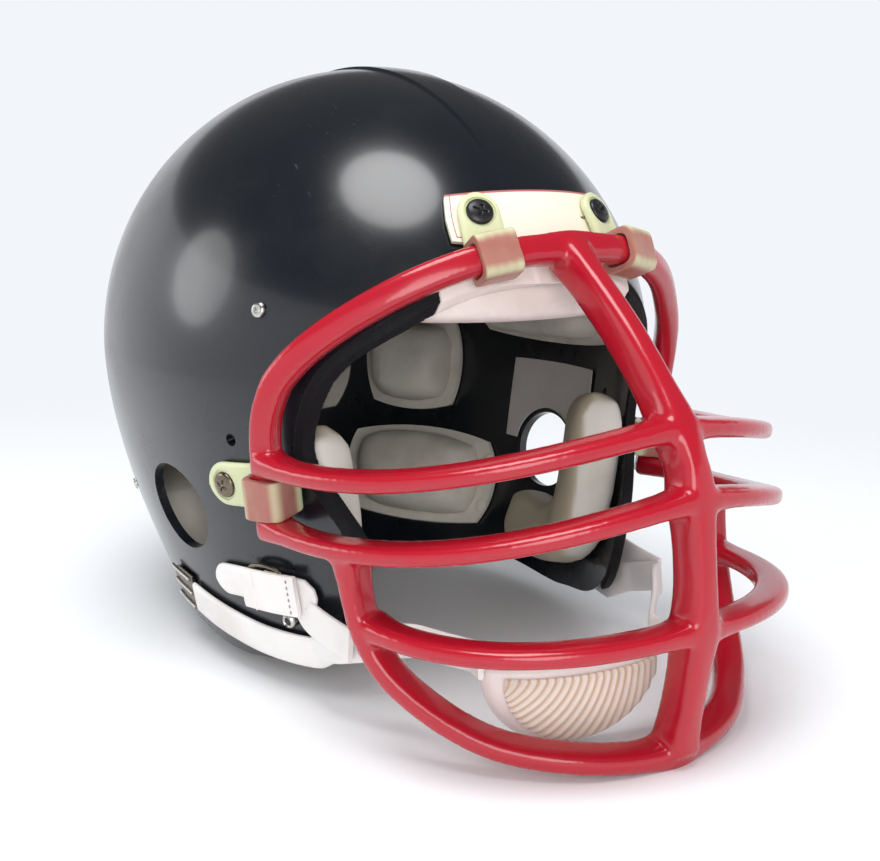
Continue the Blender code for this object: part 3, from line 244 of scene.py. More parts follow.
TAG_MARGIN = 0.002
TAG_CORNER_SHARE = 0.04
TAG_STEPS = (30, 24)

# Straps
STRAP_WIDTH = 0.0145
STRAP_THICK = 0.0022
REAR_STRAP_ROUTE_SHARES = (
    (85.5, -0.556), (78.0, -0.575), (68.0, -0.594), (60.0, -0.599), (54.5, -0.597),
)
REAR_STRAP_SLOPE = 0.33
FRONT_STRAP_ROUTE_SHARES = ((63.0, -0.460), (58.5, -0.460), (55.0, -0.465))
FRONT_TAB_ROUTE_SHARES = ((75.5, -0.470), (70.0, -0.464), (63.6, -0.462))
HOOK_ROUTE_SHARES = ((94.5, -0.535), (86.2, -0.555))
HOOK_WIDTH = 0.018
HOOK_THICK = 0.0016
KEEPER_ROUTE_SHARES = ((67.0, -0.462), (60.5, -0.462), (55.2, -0.460))
KEEPER_WIDTH = 0.0175
KEEPER_THICK = 0.0024
WIRE_ROUTE_SHARES = ((65.5, -0.430), (64.8, -0.412), (61.6, -0.405), (58.6, -0.412), (58.0, -0.430))
WIRE_RADIUS = 0.0008
WELT_WIDTH = 0.0007
SNAP_PLACE = (59.5, -0.533)
SNAP_RADIUS = 0.0034
SNAP_HEIGHT = 0.0028
# Black disc in the snap's dimple, painted shade of its hollow: its share of the radius and its heights
SNAP_SHADE_SHARE = 0.48
SNAP_SHADE_HEIGHTS = (0.3, 0.75)
FRONT_WIDTH_SHARE = 0.94
ROUTE_STEPS = 8
PIVOT_REACH = 0.1135
PIVOT_HALF_SPAN = 0.0755
PIVOT_HEIGHT = 0.030
PIVOT_GAP = 0.0004
CHIN_STRAP_WIDTH = 0.012
CHIN_STRAP_THICK = 0.0022
FRONT_LEG_SHARES = ((0.716, 0.6185, 0.292), (0.707, 0.7034, 0.2682))
STITCH_PITCH = 0.0024
STITCH_RADIUS = 0.00045
STITCH_FILL = 0.36
STITCH_MARGIN = 0.001
WELT_MARGIN = 0.0004
STITCH_ROW_SHARE = 0.88
WELT_ROW_SHARE = 0.24
HOOK_WIRE_SHARES = (-0.8, 0.0, 0.8)
HOOK_WIRE_START = 0.08
HOOK_WIRE_SPAN = 0.84
HOOK_WIRE_STEPS = 12
HOOK_WIRE_LIFT = 0.4

# Chin cup
CUP_REACH = 0.17286
CUP_HEIGHT = 0.0332
CUP_SIDE_SHIFT = -0.0205
CUP_HALF_WIDTH = 0.03567
CUP_DROP = 0.0315
CUP_UPPER_SHARE = 0.17
CUP_DEPTH = 0.0142
CUP_WALL = 0.0030
CUP_YAW = math.radians(-12)
CUP_LAP = 0.003
CUP_LAP_LIFT = 0.004
CUP_LAP_REACHES = (-2, -0.5, 1)
PIVOT_LEAD_REACHES = (2.1, 1.15)
PIVOT_FLAT_REACHES = (0.9, 1.4)
STRAP_LEADS = ((0.08, 0, 0.0004), (0.2, 0.001, 0.0018), (0.45, 0.001, 0.0030), (0.75, 0, 0.0016))
CUP_VOXEL = 0.0008
CUP_RIM_RADIUS = 0.0018
CUP_COVER_THICK = 0.0010
CUP_COVER_SHARE = 0.86
CUP_COVER_TOP = -0.02
CUP_COVER_TURN = math.radians(80)
RIB_LEAN = 0.30
RIB_HEIGHT = 0.0007
RIB_STEPS = 8
COVER_ROWS = 60
COVER_BOW = 1.6
RIM_STEPS = 96

# Backdrop
BACKDROP_REACH = 3.0
BACKDROP_BEND = 0.9
BACKDROP_HEIGHT = 1.6
BACKDROP_SIDES = 96

# Camera, solved from the photograph
PICTURE_WIDTH = 880
FOCAL_PIXELS = 1236.677
SENSOR_WIDTH = 36.0
CAMERA_PLACE = (-0.301807, -0.449692, 0.200628)
CAMERA_RIGHT = (0.817443, -0.575935, 0.009204)
CAMERA_UP = (0.106859, 0.167332, 0.980092)
CAMERA_AHEAD = (0.56601, 0.800186, -0.198329)

TILT = Matrix.Rotation(-SHELL_TILT, 4, "X")
TO_WORLD = Matrix.Translation((0, SHELL_CENTRE_Y, WIDEST_HEIGHT)) @ TILT
SIDES = (-1, 1)


# Places on the shell

def smooth_step(value):
    value = min(1.0, max(0.0, value))
    return value * value * (3 - 2 * value)


def signed_power(value, power):
    return math.copysign(abs(value) ** power, value)


def smooth_path(points, steps):
    """Catmull-Rom curve through points of any size."""
    path = []
    last = len(points) - 1
    for index in range(last):
        before = points[max(index - 1, 0)]
        start = points[index]
        end = points[index + 1]
        after = points[min(index + 2, last)]
        for step in range(steps):
            t = step / steps
            path.append(tuple(
                0.5 * (2 * b + (c - a) * t + (2 * a - 5 * b + 4 * c - d) * t ** 2
                       + (3 * b - a - 3 * c + d) * t ** 3)
                for a, b, c, d in zip(before, start, end, after)))
    path.append(tuple(points[last]))
    return path


def plain_skin(azimuth, rise):
    """Point of the outer skin: the azimuth runs from brow to neck, the rise from neck to crown."""
    angle = math.radians(azimuth)
    across = signed_power(math.sin(angle), 2 / PLAN_POWER)
    ahead = signed_power(math.cos(angle), 2 / PLAN_POWER)
    if rise >= 0:
        width_share = length_share = (1 - rise ** CROWN_POWER) ** (1 / CROWN_POWER)
        height = rise * SHELL_CROWN
    else:
        height = rise * SHELL_DROP
        neck_share = (1 - (-rise) ** DROP_POWER) ** (1 / DROP_POWER)
        side_share = (1 - (-height / SIDE_DROP) ** SIDE_POWER) ** (1 / SIDE_POWER)
        to_side = smooth_step((SIDE_FADE_END - abs(azimuth)) / SIDE_FADE_SPAN)
        width_share = neck_share + (side_share - neck_share) * to_side
        length_share = 1.0 if ahead > 0 else neck_share
    return Vector((SHELL_HALF_WIDTH * width_share * across,
                   -SHELL_HALF_LENGTH * length_share * ahead, height))


def skin_normal(azimuth, rise):
    nudge = 0.02
    share_nudge = 0.0002
    rise = min(rise, 1 - 2 * share_nudge)
    along = plain_skin(azimuth + nudge, rise) - plain_skin(azimuth - nudge, rise)
    up = plain_skin(azimuth, rise + share_nudge) - plain_skin(azimuth, rise - share_nudge)
    normal = along.cross(up).normalized()
    return normal if normal.dot(plain_skin(azimuth, rise)) > 0 else -normal


def skin(azimuth, rise, lift=0.0):
    """World point at a height over the outer skin, on the +X side."""
    return TO_WORLD @ (plain_skin(azimuth, rise) + skin_normal(azimuth, rise) * lift)


def skin_frame(azimuth, rise, side, up_turn=0.0):
    """Placement on the skin: X along the level line, Y up the skin, Z out of it."""
    normal = TILT.to_3x3() @ skin_normal(azimuth, rise)
    normal.x *= side
    level = Vector((0, 0, 1)).cross(normal).normalized()
    up = normal.cross(level)
    origin = skin(azimuth, rise)
    origin.x *= side
    axes = Matrix((level, up, normal)).transposed().to_4x4()
    return Matrix.Translation(origin) @ axes @ Matrix.Rotation(up_turn, 4, "Z")


def skin_angles(x_share, y_share, z_share):
    """Azimuth and rise of the skin point that lies in a direction from the centre."""
    plan = (abs(x_share) ** PLAN_POWER + abs(y_share) ** PLAN_POWER) ** (1 / PLAN_POWER)
    power = CROWN_POWER if z_share >= 0 else DROP_POWER
    size = (plan ** power + abs(z_share) ** power) ** (1 / power)
    azimuth = math.degrees(math.atan2(signed_power(x_share, PLAN_POWER / 2),
                                      signed_power(-y_share, PLAN_POWER / 2)))
    return azimuth, max(-1.0, min(1.0, z_share / size))


def skin_over(x, y, lift):
    """World point over the crown, above a place in the shell's own plan."""
    x_share = x / SHELL_HALF_WIDTH
    y_share = y / SHELL_HALF_LENGTH
    plan = (abs(x_share) ** PLAN_POWER + abs(y_share) ** PLAN_POWER) ** (1 / PLAN_POWER)
    rise = (1 - plan ** CROWN_POWER) ** (1 / CROWN_POWER)
    azimuth = skin_angles(x_share, y_share, rise)[0]
    return skin(azimuth, rise, lift)


def side_place(y, z):
    """Azimuth and rise of the skin at a place in side view."""
    azimuth, rise = 70.0, -0.4
    rise_step = 0.01
    for _ in range(12):
        here = skin(azimuth, rise)
        back = skin(azimuth + 1, rise) - here
        raised = skin(azimuth, rise + rise_step) - here
        det = back.y * raised.z - back.z * raised.y
        dy, dz = y - here.y, z - here.z
        azimuth += (dy * raised.z - dz * raised.y) / det
        rise += rise_step * (back.y * dz - back.z * dy) / det
    return azimuth, rise


def skin_station(azimuth, rise, side, lift):
    """A point over the skin and the skin's outward direction there."""
    placement = skin_frame(azimuth, rise, side)
    out = placement.col[2].to_3d()
    return placement.translation + out * lift, out


def skin_run(route, side, lift):
    return [skin_station(azimuth, rise, side, lift)
            for azimuth, rise in smooth_path(route, ROUTE_STEPS)]


def smooth_run(stations):
    path = smooth_path([(*point, *out) for point, out in stations], ROUTE_STEPS)
    return [(Vector(item[:3]), Vector(item[3:]).normalized()) for item in path]


def at_distance(run, distance):
    """Station at a distance along a run."""
    for (here, out), (there, next_out) in zip(run, run[1:]):
        step = (there - here).length
        if distance <= step:
            share = distance / step
            return here.lerp(there, share), out.lerp(next_out, share).normalized()
        distance -= step
    return run[-1]


def run_length(run):
    return sum((there[0] - here[0]).length for here, there in zip(run, run[1:]))


def run_frame(run, distance):
    """Placement on a run: X along it, Y across it, Z outward."""
    length = run_length(run)
    nudge = length / 200
    point, out = at_distance(run, distance)
    ahead = at_distance(run, min(distance + nudge, length))[0]
    behind = at_distance(run, max(distance - nudge, 0.0))[0]
    along = (ahead - behind).normalized()
    across = out.cross(along).normalized()
    out = along.cross(across)
    placement = Matrix((along, across, out)).transposed().to_4x4()
    return Matrix.Translation(point) @ placement


# Objects and meshes

def side_name(name, side):
    return name + ("_left" if side > 0 else "_right")


def shade(mesh, sharp):
    """Smooth shading, with sharp edges where faces turn by more than an angle."""
    mesh.shade_smooth()
    mesh.set_sharp_from_angle(angle=math.radians(sharp))


def blank(name, bm, sharp=40):
    """An object of a bmesh with closed seams, outward faces and smooth shading."""
    bmesh.ops.remove_doubles(bm, verts=bm.verts, dist=1e-6)
    bmesh.ops.recalc_face_normals(bm, faces=bm.faces)
    mesh = bpy.data.meshes.new(name)
    bm.to_mesh(mesh)
    bm.free()
    shade(mesh, sharp)
    thing = bpy.data.objects.new(name, mesh)
    bpy.context.scene.collection.objects.link(thing)
    return thing


def discard(thing):
    bpy.data.objects.remove(thing, do_unlink=True)


def bake(thing):
    """Apply an object's modifiers to its mesh."""
    bpy.context.view_layer.update()
    graph = bpy.context.evaluated_depsgraph_get()
    mesh = bpy.data.meshes.new_from_object(thing.evaluated_get(graph), depsgraph=graph)
    thing.modifiers.clear()
    thing.data = mesh
    return thing


def carve(thing, cutters, operation="DIFFERENCE"):
    """Cut, join or intersect an object with others, which go."""
    group = bpy.data.collections.new("cutters")
    for cutter in cutters:
        group.objects.link(cutter)
    step = thing.modifiers.new("carve", "BOOLEAN")
    step.operation = operation
    step.solver = "EXACT"
    step.operand_type = "COLLECTION"
    step.collection = group
    bake(thing)
    for cutter in cutters:
        discard(cutter)
    bpy.data.collections.remove(group)
    return thing


def thicken(thing, wall):
    step = thing.modifiers.new("wall", "SOLIDIFY")
    step.thickness = wall
    step.offset = -1.0
    step.use_even_offset = True
    return bake(thing)


def rounded(thing, width, angle=30):
    """Round the edges where faces turn by more than an angle."""
    step = thing.modifiers.new("rounding", "BEVEL")
    step.width = width
    step.segments = 2
    step.limit_method = "ANGLE"
    step.angle_limit = math.radians(angle)
    return bake(thing)


def painted(thing, name, share_at):
    """Write a share on every point, for a finish to read."""
    layer = thing.data.attributes.new(name, "FLOAT", "POINT")
    for vert in thing.data.vertices:
        layer.data[vert.index].value = share_at(vert)


def remeshed(thing, voxel, rounds):
    """One closed even skin over everything in an object, then softened."""
    step = thing.modifiers.new("voxels", "REMESH")
    step.mode = "VOXEL"
    step.voxel_size = voxel
    step.use_smooth_shade = True
    soften = thing.modifiers.new("soften", "SMOOTH")
    soften.factor = 0.5
    soften.iterations = rounds
    return bake(thing)


def finished(thing, nodes, finish, body="helmet"):
    """Give a piece its finish and its body, and hide the CAD nodes that it replaces."""
    thing.data.materials.clear()
    thing.data.materials.append(finish)
    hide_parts(*nodes)
    if body:
        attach(thing, body)
    return thing


def absorb(bm, thing):
    """Add an object's mesh to a bmesh and drop the object."""
    bm.from_mesh(thing.data)
    discard(thing)


def prism(name, outlines, half_depth, matrix):
    """Flat outlines drawn in XY, an inner one being a hole, given a depth to both sides."""
    curve = bpy.data.curves.new(name, "CURVE")
    curve.dimensions = "2D"
    curve.fill_mode = "BOTH"
    curve.extrude = half_depth
    for outline in outlines:
        spline = curve.splines.new("POLY")
        spline.points.add(len(outline) - 1)
        for point, place in zip(spline.points, outline):
            point.co = (place[0], place[1], 0, 1)
        spline.use_cyclic_u = True
    guide = bpy.data.objects.new(name, curve)
    bpy.context.scene.collection.objects.link(guide)
    bpy.context.view_layer.update()
    graph = bpy.context.evaluated_depsgraph_get()
    bm = bmesh.new()
    bm.from_mesh(bpy.data.meshes.new_from_object(guide.evaluated_get(graph)))
    discard(guide)
    bm.transform(matrix)
    return blank(name, bm)


def disc(name, placement, radius, low, high, sides=ROUND_SIDES):
    bm = bmesh.new()
    middle = Matrix.Translation((0, 0, (low + high) / 2))
    bmesh.ops.create_cone(bm, cap_ends=True, segments=sides, radius1=radius, radius2=radius,
                          depth=high - low, matrix=placement @ middle)
    return blank(name, bm)


def turned(placement, profile, sides=ROUND_SIDES):
    """Spin a profile of radii and heights about a placement's Z axis."""
    bm = bmesh.new()
    verts = [bm.verts.new((radius, 0, height)) for radius, height in profile]
    edges = [bm.edges.new(pair) for pair in zip(verts, verts[1:])]
    bmesh.ops.spin(bm, geom=verts + edges, cent=(0, 0, 0), axis=(0, 0, 1),
                   angle=2 * math.pi, steps=sides, use_merge=True)
    bmesh.ops.transform(bm, matrix=placement, verts=bm.verts)
    return bm


def sheet(rows):
    """A closed sheet: each place in the rows holds its lower point, upper point and UV."""
    bm = bmesh.new()
    bmesh.ops.create_grid(bm, x_segments=len(rows) - 1, y_segments=len(rows[0]) - 1, size=1)
    grown = bmesh.ops.extrude_face_region(bm, geom=bm.faces[:])
    for item in grown["geom"]:
        if isinstance(item, bmesh.types.BMVert):
            item.co.z = 1
    layer = bm.loops.layers.uv.new("UVMap")
    places = {}
    for vert in bm.verts:
        row = rows[round((vert.co.x + 1) / 2 * (len(rows) - 1))]
        places[vert] = row[round((vert.co.y + 1) / 2 * (len(row) - 1))]
    for face in bm.faces:
        for loop in face.loops:
            loop[layer].uv = places[loop.vert][2]
    for vert in bm.verts:
        vert.co = places[vert][round(vert.co.z)]
    return bm


def even_share(index, count):
    return 2 * index / count - 1


def edge_share(index, count):
    """A share from -1 to 1 whose steps are short near both ends."""
    return math.sin(math.pi / 2 * even_share(index, count))


def patch(counts, ends_at, share_of=even_share):
    """Rows of a sheet over shares from -1 to 1 both ways."""
    rows = []
    for column in range(counts[0] + 1):
        u = share_of(column, counts[0])
        row = []
        for step in range(counts[1] + 1):
            v = share_of(step, counts[1])
            row.append((*ends_at(u, v), ((u + 1) / 2, (v + 1) / 2)))
        rows.append(row)
    return rows


def oval(width, height, power, count):
    """Points of a rounded rectangle about its middle."""
    points = []
    for index in range(count):
        angle = 2 * math.pi * (index + 0.5) / count
        points.append((width / 2 * signed_power(math.cos(angle), 2 / power),
                       height / 2 * signed_power(math.sin(angle), 2 / power)))
    return points


def swept(bm, stations, depth, height, power, scales=None, count=BAR_SECTION_POINTS):
    """Sweep a rounded section through stations of a point and an outward direction."""
    section = oval(depth, height, power, count)
    last = len(stations) - 1
    loops = []
    for index, (point, out) in enumerate(stations):
        along = (stations[min(index + 1, last)][0] - stations[max(index - 1, 0)][0]).normalized()
        out = (out - along * out.dot(along)).normalized()
        up = along.cross(out)
        tall, deep = scales[index] if scales else (1.0, 1.0)
        verts = [bm.verts.new(point + out * a * deep + up * b * tall) for a, b in section]
        loops.append([bm.edges.new((verts[i], verts[(i + 1) % count])) for i in range(count)])
    for low, high in zip(loops, loops[1:]):
        bmesh.ops.bridge_loops(bm, edges=low + high)
    for loop in (loops[0], loops[-1]):
        bmesh.ops.edgeloop_fill(bm, edges=loop)
    return bm


def wire(bm, stations, radius, count=10):
    return swept(bm, stations, 2 * radius, 2 * radius, 2.0, count=count)


def ribbon(run, width, thick, steps, round_start=False, round_end=False, width_end=None):
    """A flat strip with soft edges along a run, its UV in metres along and across."""
    length = run_length(run)
    radius = width / 2
    ending = (width_end or width) / 2
    ends = [1 - math.cos(math.pi / 2 * share / 10) for share in range(11)]
    first = [share * radius for share in ends] if round_start else [0.0]
    last = [length - share * ending for share in reversed(ends)] if round_end else [length]
    span = last[0] - first[-1]
    stops = first + [first[-1] + span * step / steps for step in range(1, steps)] + last
    rows = []
    for distance in stops:
        placement = run_frame(run, distance)
        half = radius + (ending - radius) * distance / length
        if round_start and distance < radius:
            half *= max(0.05, math.sqrt(1 - (1 - distance / radius) ** 2))
        if round_end and length - distance < ending:
            half *= max(0.05, math.sqrt(1 - (1 - (length - distance) / ending) ** 2))
        row = []
        for step in range(13):
            share = math.sin(math.pi / 2 * (step / 6 - 1))
            drop = thick / 2 * (1 - math.sqrt(max(0.0, 1 - abs(share) ** 10)) * 0.85 - 0.15)
            y = share * half
            row.append((placement @ Vector((0, y, drop)),
                        placement @ Vector((0, y, thick - drop)), (distance, y)))
        rows.append(row)
    return sheet(rows)


def stitches(bm, run, lift, length):
    """Short threads in a row along a run."""
    count = max(1, round(length / STITCH_PITCH))
    size = Matrix.Diagonal((STITCH_PITCH * STITCH_FILL, STITCH_RADIUS, STITCH_RADIUS, 1))
    for index in range(count):
        placement = run_frame(run, (index + 0.5) * length / count)
        matrix = placement @ Matrix.Translation((0, 0, lift)) @ size
        bmesh.ops.create_icosphere(bm, subdivisions=1, radius=1, matrix=matrix)


# Node maths

class Value:
    """A socket that Python's operators work on: each one adds a Math node."""

    def __init__(self, finish, socket):
        self.finish = finish
        self.socket = socket

    def maths(self, operation, first, second=0.0):
        return self.finish.node("ShaderNodeMath", {"operation": operation},
                                {0: first, 1: second})

    def __add__(self, other):
        return self.maths("ADD", self, other)

    def __radd__(self, other):
        return self.maths("ADD", other, self)

    def __sub__(self, other):
        return self.maths("SUBTRACT", self, other)

    def __rsub__(self, other):
        return self.maths("SUBTRACT", other, self)

    def __mul__(self, other):
        return self.maths("MULTIPLY", self, other)

    def __rmul__(self, other):
        return self.maths("MULTIPLY", other, self)

    def __gt__(self, other):
        return self.maths("GREATER_THAN", self, other)

    def __lt__(self, other):
        return self.maths("LESS_THAN", self, other)

    def __abs__(self):
        return self.maths("ABSOLUTE", self)


class Finish:
    """A material and the few ways that nodes are added to it."""

    def __init__(self, name, constants=None, world=None):
        self.owner = world or bpy.data.materials.new(name)
        self.owner.use_nodes = True
        self.tree = self.owner.node_tree
        self.shader = self.tree.nodes.get("Principled BSDF") or self.tree.nodes["Background"]
        for socket, value in (constants or {}).items():
            self.shader.inputs[socket].default_value = value

    def node(self, kind, settings=None, inputs=None, output=0):
        """Add a node: its settings first, then the values or links of its sockets."""
        node = self.tree.nodes.new(kind)
        for key, value in (settings or {}).items():
            if key == "stops":
                for element, (position, color) in zip(node.color_ramp.elements, value):
                    element.position = position
                    element.color = color
            else:
                setattr(node, key, value)
        for key, value in (inputs or {}).items():
            self.put(node.inputs[key], value)
        return Value(self, node.outputs[output])

    def put(self, socket, value):
        if isinstance(value, Value):
            self.tree.links.new(value.socket, socket)
        else:
            socket.default_value = value

    def set(self, socket, value):
        self.put(self.shader.inputs[socket], value)

    def place(self):
        return self.node("ShaderNodeTexCoord", output="Object")

    def uv(self):
        return self.node("ShaderNodeUVMap", {"uv_map": "UVMap"})

    def parts(self, vector):
        """The three numbers of a vector."""
        node = self.node("ShaderNodeSeparateXYZ", inputs={0: vector})
        outputs = node.socket.node.outputs
        return [Value(self, outputs[index]) for index in range(3)]

    def noise(self, vector, scale, detail=4.0, rough=0.55):
        return self.node("ShaderNodeTexNoise", inputs={
            "Vector": vector, "Scale": scale, "Detail": detail, "Roughness": rough})

    def cells(self, vector, scale):
        return self.node("ShaderNodeTexVoronoi", {"feature": "DISTANCE_TO_EDGE"},
                         {"Vector": vector, "Scale": scale})

    def stretch(self, vector, scale):
        return self.node("ShaderNodeVectorMath", {"operation": "MULTIPLY"},
                         {0: vector, 1: scale})

    def ramp(self, value, low, high):
        """A smooth share of how far a value is between two levels."""
        return self.node("ShaderNodeMapRange", {"interpolation_type": "SMOOTHSTEP"}, {
            "Value": value, "From Min": low, "From Max": high, "To Min": 0.0, "To Max": 1.0})

    def mix(self, share, first, second):
        """Blend two colours."""
        return self.node("ShaderNodeMix", {"data_type": "RGBA"},
                         {0: share, 6: first, 7: second}, output=2)

    def bump(self, height, distance, strength=1.0):
        normal = self.node("ShaderNodeBump", inputs={
            "Height": height, "Distance": distance, "Strength": strength})
        self.set("Normal", normal)


def rgba(color, share=1.0):
    return tuple(min(1.0, channel * share) for channel in color[:3]) + (1.0,)


def shell_finish(color):
    """Glossy moulded plastic with fine scuffs and a faint dust haze."""
    finish = Finish("shell_black", {"Specular IOR Level": 0.5, "Coat Roughness": 0.12})
    place = finish.place()
    haze = finish.ramp(finish.noise(place, 22.0, 6.0), 0.42, 0.75)
    scuffs = finish.noise(finish.stretch(place, (900.0, 90.0, 260.0)), 1.0, 3.0, 0.6)
    scuffs = finish.ramp(scuffs, 0.66, 0.74) * finish.ramp(finish.noise(place, 14.0), 0.5, 0.72)
    worn = finish.mix(haze * 0.3, rgba(color), rgba((0.012, 0.014, 0.018)))
    finish.set("Base Color", finish.mix(scuffs * 0.35, worn, rgba((0.12, 0.13, 0.14))))
    finish.set("Roughness", 0.24 + haze * 0.08 + scuffs * 0.2)
    finish.set("Coat Weight", 0.5 - scuffs * 0.4 - haze * 0.1)
    finish.bump(finish.noise(place, 26.0, 2.0), 0.0002, 0.2)
    return finish.owner


def rubber_finish(color):
    """Black rubber with a pebbled moulding grain."""
    finish = Finish("trim_rubber", {"Specular IOR Level": 0.15})
    place = finish.place()
    grain = finish.cells(place, 900.0)
    finish.set("Base Color", finish.mix(finish.noise(place, 60.0), rgba(color),
                                        rgba((0.012, 0.012, 0.014))))
    finish.set("Roughness", 0.55 + grain * 0.3)
    finish.bump(grain, 0.0004, 0.8)
    return finish.owner


def plate_finish(color, line_color):
    """Cream plastic with a thin printed border."""
    finish = Finish("plate_cream", {"Specular IOR Level": 0.5})
    place = finish.place()
    u, v, _ = finish.parts(finish.uv())
    edge_u = 1 - abs(u * 2 - 1)
    side = (edge_u > 0.050) * (edge_u < 0.060)
    low = (v > 0.070) * (v < 0.092)
    high = v > 0.965
    inside = edge_u > 0.050
    lines = (side * (v > 0.070) + low * inside + high) * 0.9
    lines = finish.node("ShaderNodeMath", {"operation": "MINIMUM"}, {0: lines, 1: 1.0})
    dirt = finish.ramp(finish.noise(place, 120.0, 6.0), 0.52, 0.8)
    cream = finish.mix(dirt * 0.35, rgba(color), rgba(color, 0.72))
    finish.set("Base Color", finish.mix(lines, cream, rgba(line_color)))
    finish.set("Roughness", 0.38 + dirt * 0.2)
    finish.bump(finish.noise(place, 900.0, 2.0), 0.00005, 0.5)
    return finish.owner


def mask_finish(color):
    """Thick glossy red coating with a slightly uneven surface."""
    finish = Finish("mask_red", {"Specular IOR Level": 0.4, "Coat Roughness": 0.1})
    place = finish.place()
    cloud = finish.noise(place, 45.0, 4.0)
    nicks = finish.ramp(finish.noise(place, 420.0, 5.0, 0.7), 0.74, 0.82)
    shade = finish.mix(cloud * 0.5, rgba(color), rgba(color, 0.8))
    finish.set("Base Color", finish.mix(nicks * 0.3, shade, rgba((0.75, 0.16, 0.18))))
    finish.set("Roughness", 0.2 + cloud * 0.08 + nicks * 0.2)
    finish.set("Coat Weight", 0.5 - nicks * 0.4)
    finish.bump(finish.noise(place, 55.0, 2.0), 0.0004, 0.25)
    return finish.owner


def clip_finish(color, bar_color):
    """Cloudy yellow-green plastic with the bar's red glowing through its loop."""
    finish = Finish("clip_plastic", {
        "Transmission Weight": 0.3, "IOR": 1.35, "Subsurface Weight": 0.3,
        "Subsurface Scale": 0.004, "Subsurface Radius": (1.0, 0.9, 0.4)})
    place = finish.place()
    cloud = finish.noise(place, 90.0, 3.0)
    bar = finish.node("ShaderNodeAttribute", {"attribute_name": "bar"}, output="Fac")
    tint = finish.mix(cloud, rgba(color), rgba((0.90, 0.90, 0.56)))
    finish.set("Base Color", finish.mix(bar * (0.7 + cloud * 0.25), tint, rgba(bar_color)))
    finish.set("Roughness", 0.16 + cloud * 0.12)
    finish.bump(finish.noise(place, 300.0, 2.0), 0.0002, 0.2)
    return finish.owner


def metal_finish(name, color, rough, metallic):
    """Turned metal with wear on its high spots."""
    finish = Finish(name, {"Metallic": metallic})
    place = finish.place()
    wear = finish.ramp(finish.noise(place, 700.0, 5.0, 0.65), 0.45, 0.7)
    finish.set("Base Color", finish.mix(wear * 0.35, rgba(color), rgba(color, 0.55)))
    finish.set("Roughness", rough + wear * 0.12)
    finish.bump(finish.noise(finish.stretch(place, (900.0, 900.0, 200.0)), 1.0), 0.00003, 0.1)
    return finish.owner


def vinyl_finish(name, color, stain, grain_scale=1100.0, grain=0.35, rough=0.5):
    """Padded vinyl with a fine leather grain and soft stains."""
    finish = Finish(name, {"Specular IOR Level": 0.35})
    place = finish.place()
    cloud = finish.ramp(finish.noise(place, 30.0, 6.0), 0.4, 0.75)
    specks = finish.ramp(finish.noise(place, 260.0, 5.0, 0.7), 0.62, 0.8)
    shade = finish.mix(cloud * 0.5, rgba(color), rgba(stain))
    finish.set("Base Color", finish.mix(specks * 0.35, shade, rgba(stain, 0.7)))
    cells = finish.cells(place, grain_scale)
    finish.set("Roughness", rough + cloud * 0.12 + cells * 0.2)
    finish.bump(finish.ramp(cells, 0.0, 0.25), 0.00012, grain)
    return finish.owner


def jaw_finish(color, inner_color):
    """Jaw pad vinyl: pale on the front face, beige towards the cheek."""
    finish = Finish("jaw_vinyl", {"Specular IOR Level": 0.35})
    place = finish.place()
    front = finish.node("ShaderNodeAttribute", {"attribute_name": "front"}, output="Fac")
    cloud = finish.ramp(finish.noise(place, 40.0, 6.0), 0.4, 0.75)
    shade = finish.mix(front, rgba(inner_color), rgba(color))
    finish.set("Base Color", finish.mix(cloud * 0.3, shade, rgba(inner_color, 0.8)))
    cells = finish.cells(place, 1200.0)
    finish.set("Roughness", 0.48 + cells * 0.2 + cloud * 0.1)
    finish.bump(finish.ramp(cells, 0.0, 0.25), 0.0001, 0.3)
    return finish.owner


def cover_finish(rib_color, groove_color):
    """Ribbed cloth: tan cords over a pale ground, with a weave across each cord."""
    finish = Finish("cup_cover_vinyl", {"Specular IOR Level": 0.2, "Sheen Weight": 0.3})
    place = finish.place()
    rib = finish.node("ShaderNodeAttribute", {"attribute_name": "rib"}, output="Fac")
    v = finish.parts(finish.uv())[1]
    weave = finish.node("ShaderNodeMath", {"operation": "SINE"}, {0: v * 520.0}) * 0.5 + 0.5
    cloud = finish.noise(place, 160.0, 5.0)
    ground = finish.mix(cloud, rgba(groove_color), rgba(groove_color, 0.9))
    cord = finish.mix(cloud * weave, rgba(rib_color), rgba(rib_color, 0.8))
    finish.set("Base Color", finish.mix(finish.ramp(rib, 0.6, 0.88) * 0.85, ground, cord))
    finish.set("Roughness", 0.7 + cloud * 0.15)
    finish.bump(weave * 0.6 + cloud * 0.6, 0.00025, 0.5)
    return finish.owner


def floor_finish(color, far_color):
    """Pale floor near the helmet that fades into an even ground for the camera far from it."""
    finish = Finish("studio_floor", {"Specular IOR Level": 0.1, "Roughness": 0.8})
    place = finish.place()
    cloud = finish.noise(place, 3.0, 2.0)
    finish.set("Base Color", finish.mix(cloud, rgba(color), rgba(color, 0.985)))
    away = finish.node("ShaderNodeVectorMath", {"operation": "LENGTH"}, {0: place}, output="Value")
    camera, glossy, transmitted = [finish.node("ShaderNodeLightPath", output=f"Is {ray} Ray")
                                   for ray in ("Camera", "Glossy", "Transmission")]
    glow = finish.node("ShaderNodeEmission", inputs={"Color": rgba(far_color), "Strength": 1.0})
    blend = finish.node("ShaderNodeMixShader", inputs={
        0: finish.ramp(away, 0.28, 0.75) * (camera + glossy + transmitted),
        1: Value(finish, finish.shader.outputs[0]), 2: glow})
    finish.put(finish.tree.nodes["Material Output"].inputs["Surface"], blend)
    return finish.owner


